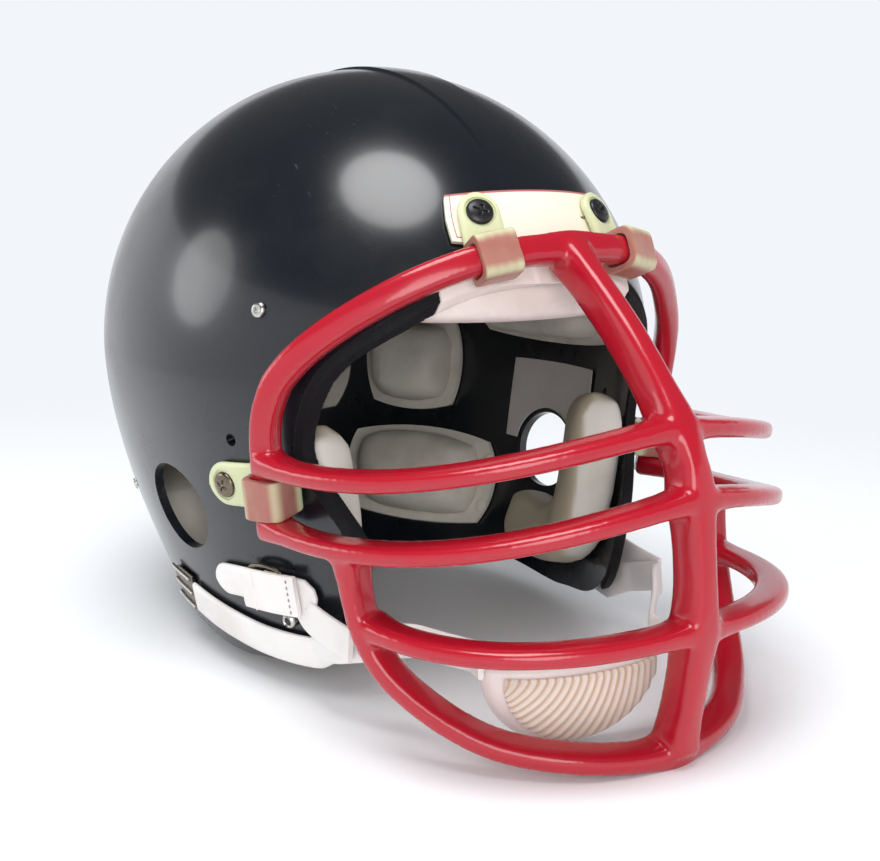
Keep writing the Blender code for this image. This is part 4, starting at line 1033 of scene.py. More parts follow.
# The color or the setting that holds it, the stain, and the grain's scale, depth and roughness
VINYLS = {
    "liner_vinyl": ("liner", (0.40, 0.36, 0.30)),
    "brow_vinyl": ("brow", (0.62, 0.52, 0.48), 1500.0),
    "tag_film": ((0.62, 0.58, 0.55), (0.50, 0.46, 0.43), 2500.0, 0.1, 0.35),
    # Stitch thread: the stitches are real, but their dark colour is painted shade of the stitch holes
    "thread": ((0.34, 0.31, 0.28), (0.25, 0.22, 0.20), 2500.0, 0.1, 0.7),
    "strap_vinyl": ("strap", (0.66, 0.60, 0.56), 1800.0, 0.2, 0.42),
    "cup_vinyl": ("cup", (0.68, 0.56, 0.52), 1500.0, 0.25, 0.5),
}


def finish_of(context, name):
    """The named finish, made the first time it is asked for."""
    ready = bpy.data.materials.get(name)
    if ready and ready.get("dressed"):
        return ready
    colors = context.scene.helmet_colors
    if ready:
        ready.name = name + "_plain"
    makers = {
        "shell_black": lambda: shell_finish(colors.shell),
        "trim_rubber": lambda: rubber_finish(colors.rubber),
        "plate_cream": lambda: plate_finish(colors.plate, colors.plate_line),
        "mask_red": lambda: mask_finish(colors.mask),
        "clip_plastic": lambda: clip_finish(colors.clip, colors.clip_bar),
        "screw_black": lambda: metal_finish("screw_black", (0.02, 0.02, 0.022), 0.3, 0.2),
        "screw_steel": lambda: metal_finish("screw_steel", (0.62, 0.60, 0.56), 0.24, 1.0),
        "screw_bronze": lambda: metal_finish("screw_bronze", (0.20, 0.16, 0.12), 0.25, 1.0),
        "jaw_vinyl": lambda: jaw_finish(colors.jaw, colors.jaw_inner),
        "cup_cover_vinyl": lambda: cover_finish(colors.rib, colors.groove),
    }
    if name in VINYLS:
        tint, *rest = VINYLS[name]
        made = vinyl_finish(name, getattr(colors, tint) if isinstance(tint, str) else tint, *rest)
    else:
        made = makers[name]()
    made["dressed"] = True
    return made


# Shell and its edge

def edge_path(steps=EDGE_STEPS):
    """Cut edge of the shell in side view, from the brow to the neck."""
    bend = smooth_path(FACE_EDGE_SHARES[:-1], steps) + [FACE_EDGE_SHARES[-1]]
    return [(SHELL_CENTRE_Y + y * SHELL_HALF_LENGTH, z * SHELL_HEIGHT) for y, z in bend]


def across_shell(name, outline):
    to_side_view = Matrix(((0, 0, 1, 0), (1, 0, 0, 0), (0, 1, 0, 0), (0, 0, 0, 1)))
    return prism(name, [outline], SHELL_HALF_WIDTH + OVERRUN, to_side_view)


def open_skin(segments, rings, lift=0.0):
    """The outer skin as an open surface with the raised band over its middle."""
    bm = bmesh.new()
    bmesh.ops.create_uvsphere(bm, u_segments=segments, v_segments=rings, radius=1,
                              matrix=Matrix.Rotation(math.pi / 2, 4, "Y"))
    low = [face for face in bm.faces if max(v.co.z for v in face.verts) < -SKIRT_SHARE]
    bmesh.ops.delete(bm, geom=low, context="FACES")
    for vert in bm.verts:
        azimuth, rise = skin_angles(*vert.co)
        vert.co = plain_skin(azimuth, rise)
    inner = RIDGE_WIDTH / 2 - RIDGE_STEP
    for place in (-RIDGE_WIDTH / 2, -inner, inner, RIDGE_WIDTH / 2):
        bmesh.ops.bisect_plane(bm, geom=bm.verts[:] + bm.edges[:] + bm.faces[:],
                               plane_co=(place, 0, 0), plane_no=(1, 0, 0))
    bm.normal_update()
    moves = [vert.normal * ((RIDGE_RISE if abs(vert.co.x) < inner + RIDGE_STEP / 2 else 0) + lift)
             for vert in bm.verts]
    for vert, move in zip(bm.verts, moves):
        vert.co += move
    bm.transform(TO_WORLD)
    return bm


def ear_hole(name, side, clearance):
    placement = skin_frame(*EAR_HOLE_PLACE, side, side * EAR_HOLE_LEAN)
    half_height = EAR_HOLE_HALF_HEIGHT + clearance
    stretch = (EAR_HOLE_HALF_LENGTH + clearance) / half_height
    return disc(name, placement @ Matrix.Diagonal((stretch, 1, 1, 1)), half_height,
                -SHELL_WALL - OVERRUN / 2, OVERRUN / 2, 2 * ROUND_SIDES)


def bore(name, place, side, radius):
    return disc(name, skin_frame(*place, side), radius, -SHELL_WALL - OVERRUN / 2, OVERRUN / 2)


TOP_SCREW_PLACE = (TOP_CLIP_AZIMUTH, TOP_CLIP_RISE_SHARES[1])
SIDE_SCREW_PLACE = (SIDE_CLIP_AZIMUTHS[1], SIDE_CLIP_RISE_SHARES[1])
SHELL_BORES = {
    "vent": (VENT_PLACE, VENT_RADIUS),
    "top_bore": (TOP_SCREW_PLACE, SCREW_RADIUS + FIT_GAP),
    "side_bore": (SIDE_SCREW_PLACE, SCREW_RADIUS + FIT_GAP),
    "liner_bore": (LINER_SCREW_PLACE, LINER_SCREW_RADIUS * STEM_SHARE + FIT_GAP),
    "rear_bore": (REAR_RIVET_PLACE, RIVET_RADIUS * STEM_SHARE + FIT_GAP),
}


def build_shell(context):
    """The hard shell: one smooth body, cut for the face, the ears and the screws."""
    shell = thicken(blank("helmet_shell", open_skin(SHELL_SEGMENTS, SHELL_RINGS), 35), SHELL_WALL)
    path = edge_path()
    floor = -SHELL_DROP
    outline = path + [(path[-1][0], floor), (path[0][0], floor)]
    cutters = [across_shell("face_opening", outline)]
    for side in SIDES:
        cutters.append(ear_hole(side_name("ear_cut", side), side, 0.0))
        for name, (place, radius) in SHELL_BORES.items():
            cutters.append(bore(side_name(name, side), place, side, radius))
    carve(shell, cutters)
    rounded(shell, context.scene.helmet_sizes.shell_rounding, 55)
    shade(shell.data, 28)
    weighted = shell.modifiers.new("even_shading", "WEIGHTED_NORMAL")
    weighted.keep_sharp = True
    bake(shell)
    return finished(shell, ["shell"], finish_of(context, "shell_black"))


def build_edge_trim(context):
    """Rubber bead over the cut edge from one jaw flap to the other, left out over the brow, where the
    brow pad's soft lip lies instead.
    """
    sizes = context.scene.helmet_sizes
    path = edge_path()
    first = round(TRIM_SPAN_SHARES[0] * len(path))
    last = round(TRIM_SPAN_SHARES[1] * len(path))
    near, far = [], []
    for index in range(first, last + 1):
        (y0, z0), (y1, z1) = path[index - 1], path[index + 1]
        length = math.hypot(y1 - y0, z1 - z0)
        turn_y, turn_z = (z1 - z0) / length, (y0 - y1) / length
        y, z = path[index]
        near.append((y - turn_y * sizes.bead_lap, z - turn_z * sizes.bead_lap))
        far.append((y + turn_y * TRIM_HEIGHT, z + turn_z * TRIM_HEIGHT))
    proud = sizes.bead_proud
    trim = blank("edge_bead", open_skin(SHELL_SEGMENTS // 2, SHELL_RINGS // 2, proud))
    thicken(trim, SHELL_WALL + 2 * proud)
    carve(trim, [across_shell("trim_band", near + far[::-1])], "INTERSECT")
    carve(trim, [brow_box()])
    remeshed(trim, TRIM_VOXEL, 14)
    finished(trim, ["edge_trim"], finish_of(context, "trim_rubber"))
    lip = blank("brow_lip_soft", open_skin(SHELL_SEGMENTS // 2, SHELL_RINGS // 2, LIP_THICK))
    thicken(lip, SHELL_WALL + 2 * LIP_THICK)
    lap = [(y - (y1 - y) * LIP_LAP_SHARE, z - (z1 - z) * LIP_LAP_SHARE)
           for (y, z), (y1, z1) in zip(near, far)]
    carve(lip, [across_shell("lip_band", lap + far[::-1])], "INTERSECT")
    carve(lip, [brow_box()], "INTERSECT")
    remeshed(lip, TRIM_VOXEL, 8)
    return finished(lip, [], finish_of(context, "brow_vinyl"))


def brow_box():
    """Space over the brow where the pad's lip takes the place of the bead."""
    bm = bmesh.new()
    place = Matrix.Translation(
        (0, SHELL_CENTRE_Y - SHELL_HALF_LENGTH, WIDEST_HEIGHT + SHELL_CROWN / 3))
    bmesh.ops.create_cube(bm, size=1, matrix=place @ Matrix.Diagonal(
        (2 * LIP_HALF_WIDTH, SHELL_HALF_LENGTH, SHELL_CROWN, 1)))
    return blank("brow_box", bm)


def corner_rounded(u, v, share):
    return u * math.sqrt(1 - share * v * v), v * math.sqrt(1 - share * u * u)


def build_front_plate(context):
    """Bare plate over the brow with a printed border."""
    low_rise, high_rise = PLATE_RISE_SHARES

    def ends(u, v):
        a, b = corner_rounded(u, v, PLATE_CORNER_SHARE)
        rise = (low_rise + high_rise) / 2 + b * (high_rise - low_rise) / 2
        rise += PLATE_SAG_SHARE * a * a * (1 if b < 0 else -1)
        return [skin(a * PLATE_AZIMUTH, rise, PLATE_LIFT + lift) for lift in (0, PLATE_THICK)]

    plate = blank("front_plate_bare", sheet(patch(PLATE_STEPS, ends)))
    carve(plate, [bore(side_name("plate_bore", side), TOP_SCREW_PLACE, side, SCREW_RADIUS + FIT_GAP)
                  for side in SIDES])
    rounded(plate, PLATE_ROUNDING, 60)
    return finished(plate, ["front_plate"], finish_of(context, "plate_cream"))


# Face mask

def brow_stations():
    """Stations of the brow bar from the right cheek over the brow to the left cheek."""
    half = BROW_ROUTE_SHARES
    whole = [(-azimuth, rise, lift) for azimuth, rise, lift in reversed(half[1:])] + list(half)
    run = []
    for azimuth, rise, share in smooth_path(whole, MASK_STEPS):
        side = -1 if azimuth < 0 else 1
        run.append(skin_station(abs(azimuth), rise, side, BROW_LIFT * share))
    return run


def bowed_stations(start, reach, height_share, steps=32):
    middle_y = SHELL_CENTRE_Y - reach
    middle_z = height_share * SHELL_HEIGHT
    run = []
    for step in range(-steps, steps + 1):
        angle = math.pi / 2 * (1 - abs(step) / steps)
        x_share = signed_power(math.cos(angle), 2 / BAR_PLAN_POWER)
        ahead = signed_power(math.sin(angle), 2 / BAR_PLAN_POWER)
        side = -1 if step < 0 else 1
        point = Vector((side * start.x * x_share,
                        start.y + (middle_y - start.y) * ahead,
                        start.z + (middle_z - start.z) * (1 - x_share ** BAR_RISE_POWER)))
        run.append((point, Vector((point.x, point.y - SHELL_CENTRE_Y, 0))))
    return run


def mask_point(x_share, reach_share, height):
    return Vector((x_share * SHELL_HALF_WIDTH, SHELL_CENTRE_Y - reach_share * MASK_REACH, height))


def mask_hub():
    return Vector((0, SHELL_CENTRE_Y - MASK_REACH / 2, SHELL_HEIGHT / 3))


def loop_stations():
    """Stations of the chin loop from cheek to cheek."""
    half = [mask_point(x, reach, LOOP_BAR_HEIGHT / 2 + z * SHELL_HEIGHT)
            for x, reach, z in LOOP_ROUTE_SHARES]
    whole = [Vector((-p.x, p.y, p.z)) for p in half] + half[-2::-1]
    run = []
    for item in smooth_path([tuple(p) for p in whole], MASK_STEPS):
        point = Vector(item)
        out = point - mask_hub()
        out.z *= LOOP_FLAT_SHARE
        run.append((point, out))
    return run


def keel_stations():
    places = [mask_point(0, reach, z * SHELL_HEIGHT) for reach, z in KEEL_ROUTE_SHARES]
    return [(Vector(item), Vector(item) - mask_hub())
            for item in smooth_path([tuple(p) for p in places], MASK_STEPS)]


def flared(run, spots, share=FLARE_SHARE):
    """Scales that widen a bar towards the spots where it meets others."""
    scales = []
    for point, _ in run:
        near = min((point - spot).length for spot in spots)
        grow = share * math.exp(-(near / FLARE_REACH) ** 2)
        scales.append((1 + grow, 1 + grow * 0.3))
    return scales


def build_facemask(context):
    """One moulded mask: brow bar, three cross bars, chin loop and keel, with soft fillets."""
    lower_start = mask_point(LOWER_BAR_SHARES[0], LOWER_BAR_SHARES[1],
                             LOWER_BAR_SHARES[2] * SHELL_HEIGHT)
    starts = [skin_station(*end, 1, BROW_LIFT)[0] for end in (UPPER_BAR_END, MIDDLE_BAR_END)]
    bars = [
        bowed_stations(starts[0], UPPER_BAR_REACH, UPPER_BAR_SHARE),
        bowed_stations(starts[1], MIDDLE_BAR_REACH, MIDDLE_BAR_SHARE),
        bowed_stations(lower_start, LOWER_BAR_REACH, LOWER_BAR_SHARE),
    ]
    keel = keel_stations()
    loop = loop_stations()
    brow = brow_stations()
    crossings = [min((p for p, _ in keel), key=lambda p, m=run[len(run) // 2][0]: (p - m).length)
                 for run in bars]
    bm = bmesh.new()
    swept(bm, brow, BROW_BAR_DEPTH, BROW_BAR_HEIGHT, BAR_SECTION_POWER,
          flared(brow, [keel[0][0]], 0.2))
    for run, crossing in zip(bars, crossings):
        ends = [run[0][0], run[-1][0], crossing]
        swept(bm, run, BAR_DEPTH, BAR_HEIGHT, BAR_SECTION_POWER, flared(run, ends))
    ends = [loop[0][0], loop[-1][0], keel[-1][0]]
    swept(bm, loop, LOOP_BAR_DEPTH, LOOP_BAR_HEIGHT, BAR_SECTION_POWER, flared(loop, ends))
    swept(bm, keel, KEEL_BAR_DEPTH, KEEL_BAR_WIDTH, BAR_SECTION_POWER,
          flared(keel, crossings + [keel[0][0], keel[-1][0]], 0.3))
    mask = remeshed(blank("face_mask", bm), MASK_VOXEL, 7)
    return finished(mask, ["facemask"], finish_of(context, "mask_red"))


# Clips and fasteners

def nearest(run, place):
    return min(range(len(run)), key=lambda index: (run[index][0] - place).length)


def build_clip(context, name, side, bar_place, screw_place, base, tab_width, width):
    """A moulded loop round the brow bar with a dished tab under its screw."""
    run = brow_stations()
    index = nearest(run, skin_station(*bar_place, side, BROW_LIFT)[0])
    point, out = run[index]
    along = (run[index + 1][0] - run[index - 1][0]).normalized()
    out = (out - along * out.dot(along)).normalized()
    placement = Matrix((out.cross(along), out, along)).transposed().to_4x4()
    placement = Matrix.Translation(point) @ placement
    top = BROW_BAR_DEPTH / 2 + CLIP_GAP + CLIP_WALL
    drop = BROW_LIFT - base
    outline = [(x, y + (top - drop) / 2) for x, y in oval(
        BROW_BAR_HEIGHT + 2 * (CLIP_GAP + CLIP_WALL), top + drop, CLIP_POWER, ROUND_SIDES)]
    bm = bmesh.new()
    absorb(bm, prism("loop", [outline], width / 2, placement))
    screw = skin_station(*screw_place, side, base)[0]
    beyond = tuple(2 * s - b for s, b in zip(screw_place, bar_place))
    tab_run = skin_run((bar_place, screw_place, beyond), side, base)
    reach = run_length(tab_run[:nearest(tab_run, screw) + 1]) + tab_width / 2
    tab_run = [at_distance(tab_run, reach * step / 24) for step in range(25)]
    absorb(bm, blank("tab", ribbon(tab_run, tab_width, TAB_THICK, 24, round_end=True)))
    clip = remeshed(blank(side_name(name, side) + "_moulded", bm), CLIP_VOXEL, 5)
    bm = bmesh.new()
    swept(bm, run[index - CORE_REACH:index + CORE_REACH + 1], BROW_BAR_DEPTH + 2 * CLIP_GAP,
          BROW_BAR_HEIGHT + 2 * CLIP_GAP, BAR_SECTION_POWER)
    seat = skin_frame(*screw_place, side)
    floor = base + TAB_THICK - DISH_DEPTH
    lid = base + TAB_THICK + OVERRUN / 4
    dish = turned(seat, [(0, floor), (DISH_RADIUS, floor), (DISH_RADIUS + DISH_FLARE, lid), (0, lid)])
    carve(clip, [blank("core", bm), blank("dish", dish),
                 bore("clip_bore", screw_place, side, SCREW_RADIUS + FIT_GAP)])
    shade(clip.data, 45)
    clear = BROW_BAR_HEIGHT / 2 + CLIP_GAP + CLIP_WALL + TINT_START
    near = run[max(index - TINT_REACH, 0):index + TINT_REACH + 1]
    painted(clip, "bar", lambda vert: smooth_step(
        (clear - min((vert.co - station[0]).length for station in near)) / TINT_SPAN))
    return finished(clip, [side_name(name, side)], finish_of(context, "clip_plastic"))


def build_screw(context, name, side, place, seat, finish):
    """Domed cross-head screw through its clip and the wall."""
    placement = skin_frame(*place, side, SCREW_TURN * side)
    head = SCREW_HEAD_RADIUS
    top = seat + SCREW_HEAD_HEIGHT
    foot = -NUT_SEAT - NUT_THICK
    dome = []
    for angle in range(0, 90, 10):
        turn = math.radians(angle)
        dome.append((head * math.sin(turn) * 0.99,
                     seat + SCREW_HEAD_HEIGHT * (0.25 + 0.75 * math.cos(turn))))
    profile = dome + [(head, seat + SCREW_HEAD_HEIGHT * 0.2), (head, seat), (SCREW_RADIUS, seat),
                      (SCREW_RADIUS, foot), (0, foot)]
    screw = blank(side_name(name, side) + "_cross_head", turned(placement, profile), 50)
    cutters = []
    for turn in (0, math.pi / 2):
        bm = bmesh.new()
        size = Matrix.Diagonal((CROSS_LENGTH, CROSS_WIDTH, 2 * CROSS_DEPTH, 1))
        bmesh.ops.create_cube(bm, size=1, matrix=placement @ Matrix.Translation((0, 0, top))
                              @ Matrix.Rotation(turn, 4, "Z") @ size)
        cutters.append(blank("cross", bm))
    carve(screw, cutters)
    return finished(screw, [side_name(name, side)], finish_of(context, finish))


def build_nut(context, name, side, place):
    """Chamfered nut against the inside of the shell."""
    top = -NUT_SEAT
    placement = skin_frame(*place, side)
    nut = disc(side_name(name, side) + "_hex", placement, NUT_RADIUS, top - NUT_THICK, top, NUT_SIDES)
    carve(nut, [disc("bore", placement, SCREW_RADIUS + FIT_GAP, top - NUT_THICK - OVERRUN / 2,
                     top + SHELL_WALL)])
    rounded(nut, NUT_ROUNDING)
    return finished(nut, [side_name(name, side)], finish_of(context, "screw_steel"))


def build_stud(context, name, side, place, radius, height, foot=-SHELL_WALL, hollow=0.35):
    """Low domed stud with a dimple in the middle."""
    base = FIT_GAP
    profile = [(0, base + height * 0.45), (radius * hollow * 0.8, base + height * 0.45),
               (radius * hollow, base + height * 0.9), (radius * 0.6, base + height),
               (radius * 0.85, base + height * 0.8), (radius, base + height * 0.35), (radius, base),
               (radius * STEM_SHARE, base), (radius * STEM_SHARE, foot), (0, foot)]
    stud = blank(side_name(name, side) + "_domed", turned(skin_frame(*place, side), profile), 50)
    return finished(stud, [side_name(name, side)], finish_of(context, "screw_steel"))


# Liner

def pad_height(u, v, thick):
    """Height of a pad over its base: steep sides and a crown."""
    def shoulder(value):
        return math.sqrt(max(0.0, 1 - abs(value) ** PAD_EDGE_POWER))
    crown = 1 - PAD_CROWN_SHARE * (u * u + v * v) / 2
    return PAD_FLANGE + (thick - PAD_FLANGE) * shoulder(u) * shoulder(v) * crown


def puffed(thing, inward, pressure, cap):
    """Blow a cushion up as cloth for a moment; only its free side moves, and not far."""
    scene = bpy.context.scene
    rest = [vert.co.copy() for vert in thing.data.vertices]
    weights = [smooth_step(vert.normal.dot(inward) + 0.6) for vert in thing.data.vertices]
    cloth = thing.modifiers.new("air", "CLOTH")
    cloth.settings.quality = 5
    cloth.settings.mass = 0.2
    cloth.settings.tension_stiffness = 12
    cloth.settings.compression_stiffness = 12
    cloth.settings.bending_stiffness = 0.6
    cloth.settings.use_pressure = True
    cloth.settings.uniform_pressure_force = pressure
    cloth.settings.effector_weights.gravity = 0
    cloth.point_cache.frame_start = 1
    cloth.point_cache.frame_end = PUFF_FRAMES
    for number in range(1, PUFF_FRAMES + 1):
        scene.frame_set(number)
    bake(thing)
    scene.frame_set(1)
    for vert, start, weight in zip(thing.data.vertices, rest, weights):
        move = vert.co - start
        if move.length > cap:
            move = move * (cap / move.length)
        vert.co = start + move * weight
    return thing


def cushion(name, bm, inward, pressure=4.0, cap=0.0022):
    """A stuffed body: even skin, air, then one subdivision."""
    thing = remeshed(blank(name, bm), PAD_VOXEL, 2)
    puffed(thing, inward, pressure, cap)
    finer = thing.modifiers.new("finer", "SUBSURF")
    finer.levels = 1
    finer.render_levels = 1
    return bake(thing)


def pad_sheet(place, depth_of, shrink=1.0):
    """A closed sheet against the shell, with rounded corners and a depth at each place."""
    def ends(u, v):
        a, b = corner_rounded(u, v, PAD_CORNER_SHARE)
        base = SHELL_WALL + SOFT_GAP
        return [place(a * shrink, b * shrink, depth) for depth in (base, base + depth_of(u, v))]
    return sheet(patch((PAD_STEPS, PAD_STEPS), ends, edge_share))


def build_pad(context, name, place, thick, finish, flange_share=PAD_FLANGE_SHARE):
    """Stuffed pad on its flange against the inside of the shell."""
    base = SHELL_WALL + SOFT_GAP
    inward = (place(0, 0, base + thick) - place(0, 0, base)).normalized()
    body = pad_sheet(place, lambda u, v: pad_height(u / PAD_SPREAD, v / PAD_SPREAD, thick - PAD_TRIM),
                     flange_share - PAD_SEAM_SHARE)
    pad = cushion(name + "_stuffed", body, inward)
    if flange_share < FLUSH_SHARE:
        bm = bmesh.new()
        absorb(bm, blank("flange", pad_sheet(place, lambda u, v: PAD_FLANGE)))
        bm.from_mesh(pad.data)
        bm.to_mesh(pad.data)
        bm.free()
    pad.data.shade_smooth()
    return finished(pad, [name], finish_of(context, finish))


def band_place(edges, side):
    """Places inside the shell within azimuth and rise edges."""
    def place(u, v, depth):
        azimuth = (edges[0] + edges[1]) / 2 + u * (edges[1] - edges[0]) / 2
        rise = (edges[2] + edges[3]) / 2 + v * (edges[3] - edges[2]) / 2
        point = skin(azimuth, rise, -depth)
        point.x *= side
        return point
    return place


def crown_place(pad, side):
    """Places under the crown about a middle and half sizes in plan."""
    def place(u, v, depth):
        point = skin_over(pad[0] + u * pad[2], pad[1] + v * pad[3], -depth)
        point.x *= side
        return point
    return place


def build_jaw_pad(context, side):
    """Thick cheek cushion that follows the front of the flap and turns back at its foot."""
    run = []
    for y_share, z_share in smooth_path(JAW_ROUTE_SHARES, 8):
        y = SHELL_CENTRE_Y + y_share * SHELL_HALF_LENGTH
        azimuth, rise = side_place(y, z_share * SHELL_HEIGHT)
        run.append(skin_station(azimuth, rise, side, -SHELL_WALL - CLIP_GAP - JAW_PAD_THICK / 2))
    scales = [(1.0, 1.0)] * len(run)
    for index, share in enumerate(JAW_END_SHARES):
        scales[index] = scales[-1 - index] = (share, share)
    bm = bmesh.new()
    swept(bm, run, JAW_PAD_THICK - STUFFING_TRIM, JAW_PAD_WIDTH, JAW_SECTION_POWER, scales)
    pad = cushion(side_name("jaw_pad", side) + "_stuffed", bm, Vector((-side, 0, 0)), 3.0, 0.0015)
    painted(pad, "front", lambda vert: smooth_step((-vert.normal.y - 0.35) / 0.3))
    return finished(pad, [side_name("jaw_pad", side)], finish_of(context, "jaw_vinyl"))


def build_tag(context):
    """Bare film on the inner wall, cut away round the ear hole."""
    place = band_place(TAG_EDGES, 1)

    def ends(u, v):
        a, b = corner_rounded(u, v, TAG_CORNER_SHARE)
        return [place(a, b, SHELL_WALL + SOFT_GAP + lift) for lift in (0, TAG_THICK)]

    tag = blank("inner_tag_bare", sheet(patch(TAG_STEPS, ends)))
    carve(tag, [ear_hole("tag_ear_cut", 1, TAG_MARGIN)])
    return finished(tag, ["inner_tag"], finish_of(context, "tag_film"))


def build_pad_rivets(context, side):
    for index, (u, v) in enumerate(PAD_RIVET_SHARES):
        a, b = corner_rounded(u, v, PAD_CORNER_SHARE)
        low, high, under, over = NECK_PAD_EDGES
        azimuth = (low + high) / 2 + a * (high - low) / 2
        rise = (under + over) / 2 + b * (over - under) / 2
        base = -SHELL_WALL - SOFT_GAP - PAD_FLANGE - FIT_GAP / 3
        dome = [(PAD_RIVET_RADIUS * math.cos(math.radians(t)),
                 base - PAD_RIVET_HEIGHT * math.sin(math.radians(t))) for t in range(0, 91, 10)]
        name = f"{side_name('pad_rivet', side)}_{index + 1}"
        rivet = blank(name + "_domed", turned(skin_frame(azimuth, rise, side), [(0, base)] + dome), 60)
        finished(rivet, [name], finish_of(context, "liner_vinyl"))


# Straps

def pivot_point(side):
    return Vector((side * PIVOT_HALF_SPAN, SHELL_CENTRE_Y - PIVOT_REACH, PIVOT_HEIGHT))


def cup_frame():
    """Placement of the cup: X across, Y up its mouth, Z out of its bowl."""
    place = Matrix.Translation((CUP_SIDE_SHIFT, SHELL_CENTRE_Y - CUP_REACH, CUP_HEIGHT))
    turn = Matrix.Rotation(CUP_YAW, 4, "Z") @ Matrix.Rotation(math.pi / 2, 4, "X")
    return place @ turn


def cup_rise(unit):
    return CUP_DROP * (CUP_UPPER_SHARE if unit.y > 0 else 1)


def cup_point(unit):
    """Point of the bowl's outer face over one point of a unit dome, deep below and low above."""
    return Vector((unit.x * CUP_HALF_WIDTH, unit.y * cup_rise(unit), unit.z * CUP_DEPTH))


def cup_normal(unit):
    return Vector((unit.x / CUP_HALF_WIDTH, unit.y / cup_rise(unit), unit.z / CUP_DEPTH)).normalized()


def chin_run(side):
    """From the hook along the flap, over the pivot and down to the cup."""
    pivot = pivot_point(side)
    outward = Vector((side, 0, 0))
    radius = CHIN_STRAP_WIDTH / 2
    rear = skin_run(REAR_STRAP_ROUTE_SHARES, side, SOFT_GAP)
    start = pivot - Vector((side * (PIVOT_GAP / 2 + CHIN_STRAP_THICK), 0, 0))
    placement = cup_frame()
    cup_side = placement.col[0].to_3d() * side
    lap = [(placement @ Vector((side * (CUP_HALF_WIDTH + FIT_GAP), CUP_LAP_LIFT, reach * CUP_LAP)),
            cup_side) for reach in CUP_LAP_REACHES]
    half = STRAP_WIDTH / 2
    lead = [(pivot + Vector((side * PIVOT_GAP / 2, half * reach, -half * reach * REAR_STRAP_SLOPE)),
             outward) for reach in PIVOT_LEAD_REACHES]
    ahead = Vector((0, -radius, radius * REAR_STRAP_SLOPE))
    flat = [(start + ahead * reach, outward) for reach in PIVOT_FLAT_REACHES]
    bend = [(flat[-1][0].lerp(lap[0][0], share) + Vector((-side * inward, 0, lift)),
             outward.lerp(lap[0][1], share).normalized()) for share, inward, lift in STRAP_LEADS]
    return rear[:-1] + smooth_run([rear[-1]] + lead + flat + bend + lap)


def build_long_strap(context, side):
    """One strap from the hook to the cup, whose path turns over the pivot."""
    bm = ribbon(chin_run(side), STRAP_WIDTH, STRAP_THICK, 130, width_end=CHIN_STRAP_WIDTH)
    strap = blank(side_name("long_strap", side), bm)
    nodes = [side_name("rear_strap", side), side_name("chin_strap", side)]
    finished(strap, nodes, finish_of(context, "strap_vinyl"), body=None)
    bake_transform(strap)


def build_front_strap(context, side):
    """Strap from the keeper down to the pivot, with its tab behind the keeper."""
    vinyl = finish_of(context, "strap_vinyl")
    outward = Vector((side, 0, 0))
    width = STRAP_WIDTH * FRONT_WIDTH_SHARE
    front = skin_run(FRONT_STRAP_ROUTE_SHARES, side, SOFT_GAP)
    foot = pivot_point(side) + Vector((side * (PIVOT_GAP / 2 + STRAP_THICK + FIT_GAP / 3),
                                       -STRAP_WIDTH / 4, STRAP_WIDTH / 8))
    bend = [(Vector((side * x * SHELL_HALF_WIDTH, SHELL_CENTRE_Y - reach * SHELL_HALF_LENGTH,
                     z * WIDEST_HEIGHT)), outward) for x, reach, z in FRONT_LEG_SHARES]
    front = smooth_run(front[::4] + bend + [(foot, outward)])
    strap = blank(side_name("front_strap", side) + "_soft", ribbon(front, width, STRAP_THICK, 60))
    finished(strap, [side_name("front_strap", side)], vinyl)
    tab = skin_run(FRONT_TAB_ROUTE_SHARES, side, SOFT_GAP)
    strap = blank(side_name("front_tab", side) + "_soft",
                  ribbon(tab, width, STRAP_THICK, 20, round_start=True))
    finished(strap, [side_name("front_tab", side)], vinyl)


def build_keeper(context, side):
    """Loop over the front strap with a row of stitches, a welt and a wire."""
    run = skin_run(KEEPER_ROUTE_SHARES, side, SOFT_GAP + STRAP_THICK + SOFT_GAP)
    length = run_length(run)
    bm = ribbon(run, KEEPER_WIDTH, KEEPER_THICK, 24)

    def row_ends(share, margin):
        middle, out = at_distance(run, length * share)
        half = run_frame(run, length * share).col[1].to_3d() * (KEEPER_WIDTH / 2 - margin)
        return middle, half, out

    middle, half, out = row_ends(STITCH_ROW_SHARE, STITCH_MARGIN)
    # Stitches in dark thread: real stitches whose colour is painted shade of their holes
    thread = bmesh.new()
    stitches(thread, [(middle - half, out), (middle + half, out)], KEEPER_THICK,
             KEEPER_WIDTH - 2 * STITCH_MARGIN)
    finished(blank(side_name("keeper_stitches", side), thread), [], finish_of(context, "thread"))
    middle, half, out = row_ends(WELT_ROW_SHARE, WELT_MARGIN)
    lift = out * KEEPER_THICK
    wire(bm, [(middle - half + lift, out), (middle + half + lift, out)], WELT_WIDTH / 2)
    keeper = blank(side_name("keeper", side) + "_stitched", bm)
    finished(keeper, [side_name("keeper", side)], finish_of(context, "strap_vinyl"))
    loop = wire(bmesh.new(), skin_run(WIRE_ROUTE_SHARES, side, SOFT_GAP + STRAP_THICK + WIRE_RADIUS),
                WIRE_RADIUS, 12)
    finished(blank(side_name("keeper_wire", side), loop), [], finish_of(context, "screw_bronze"))


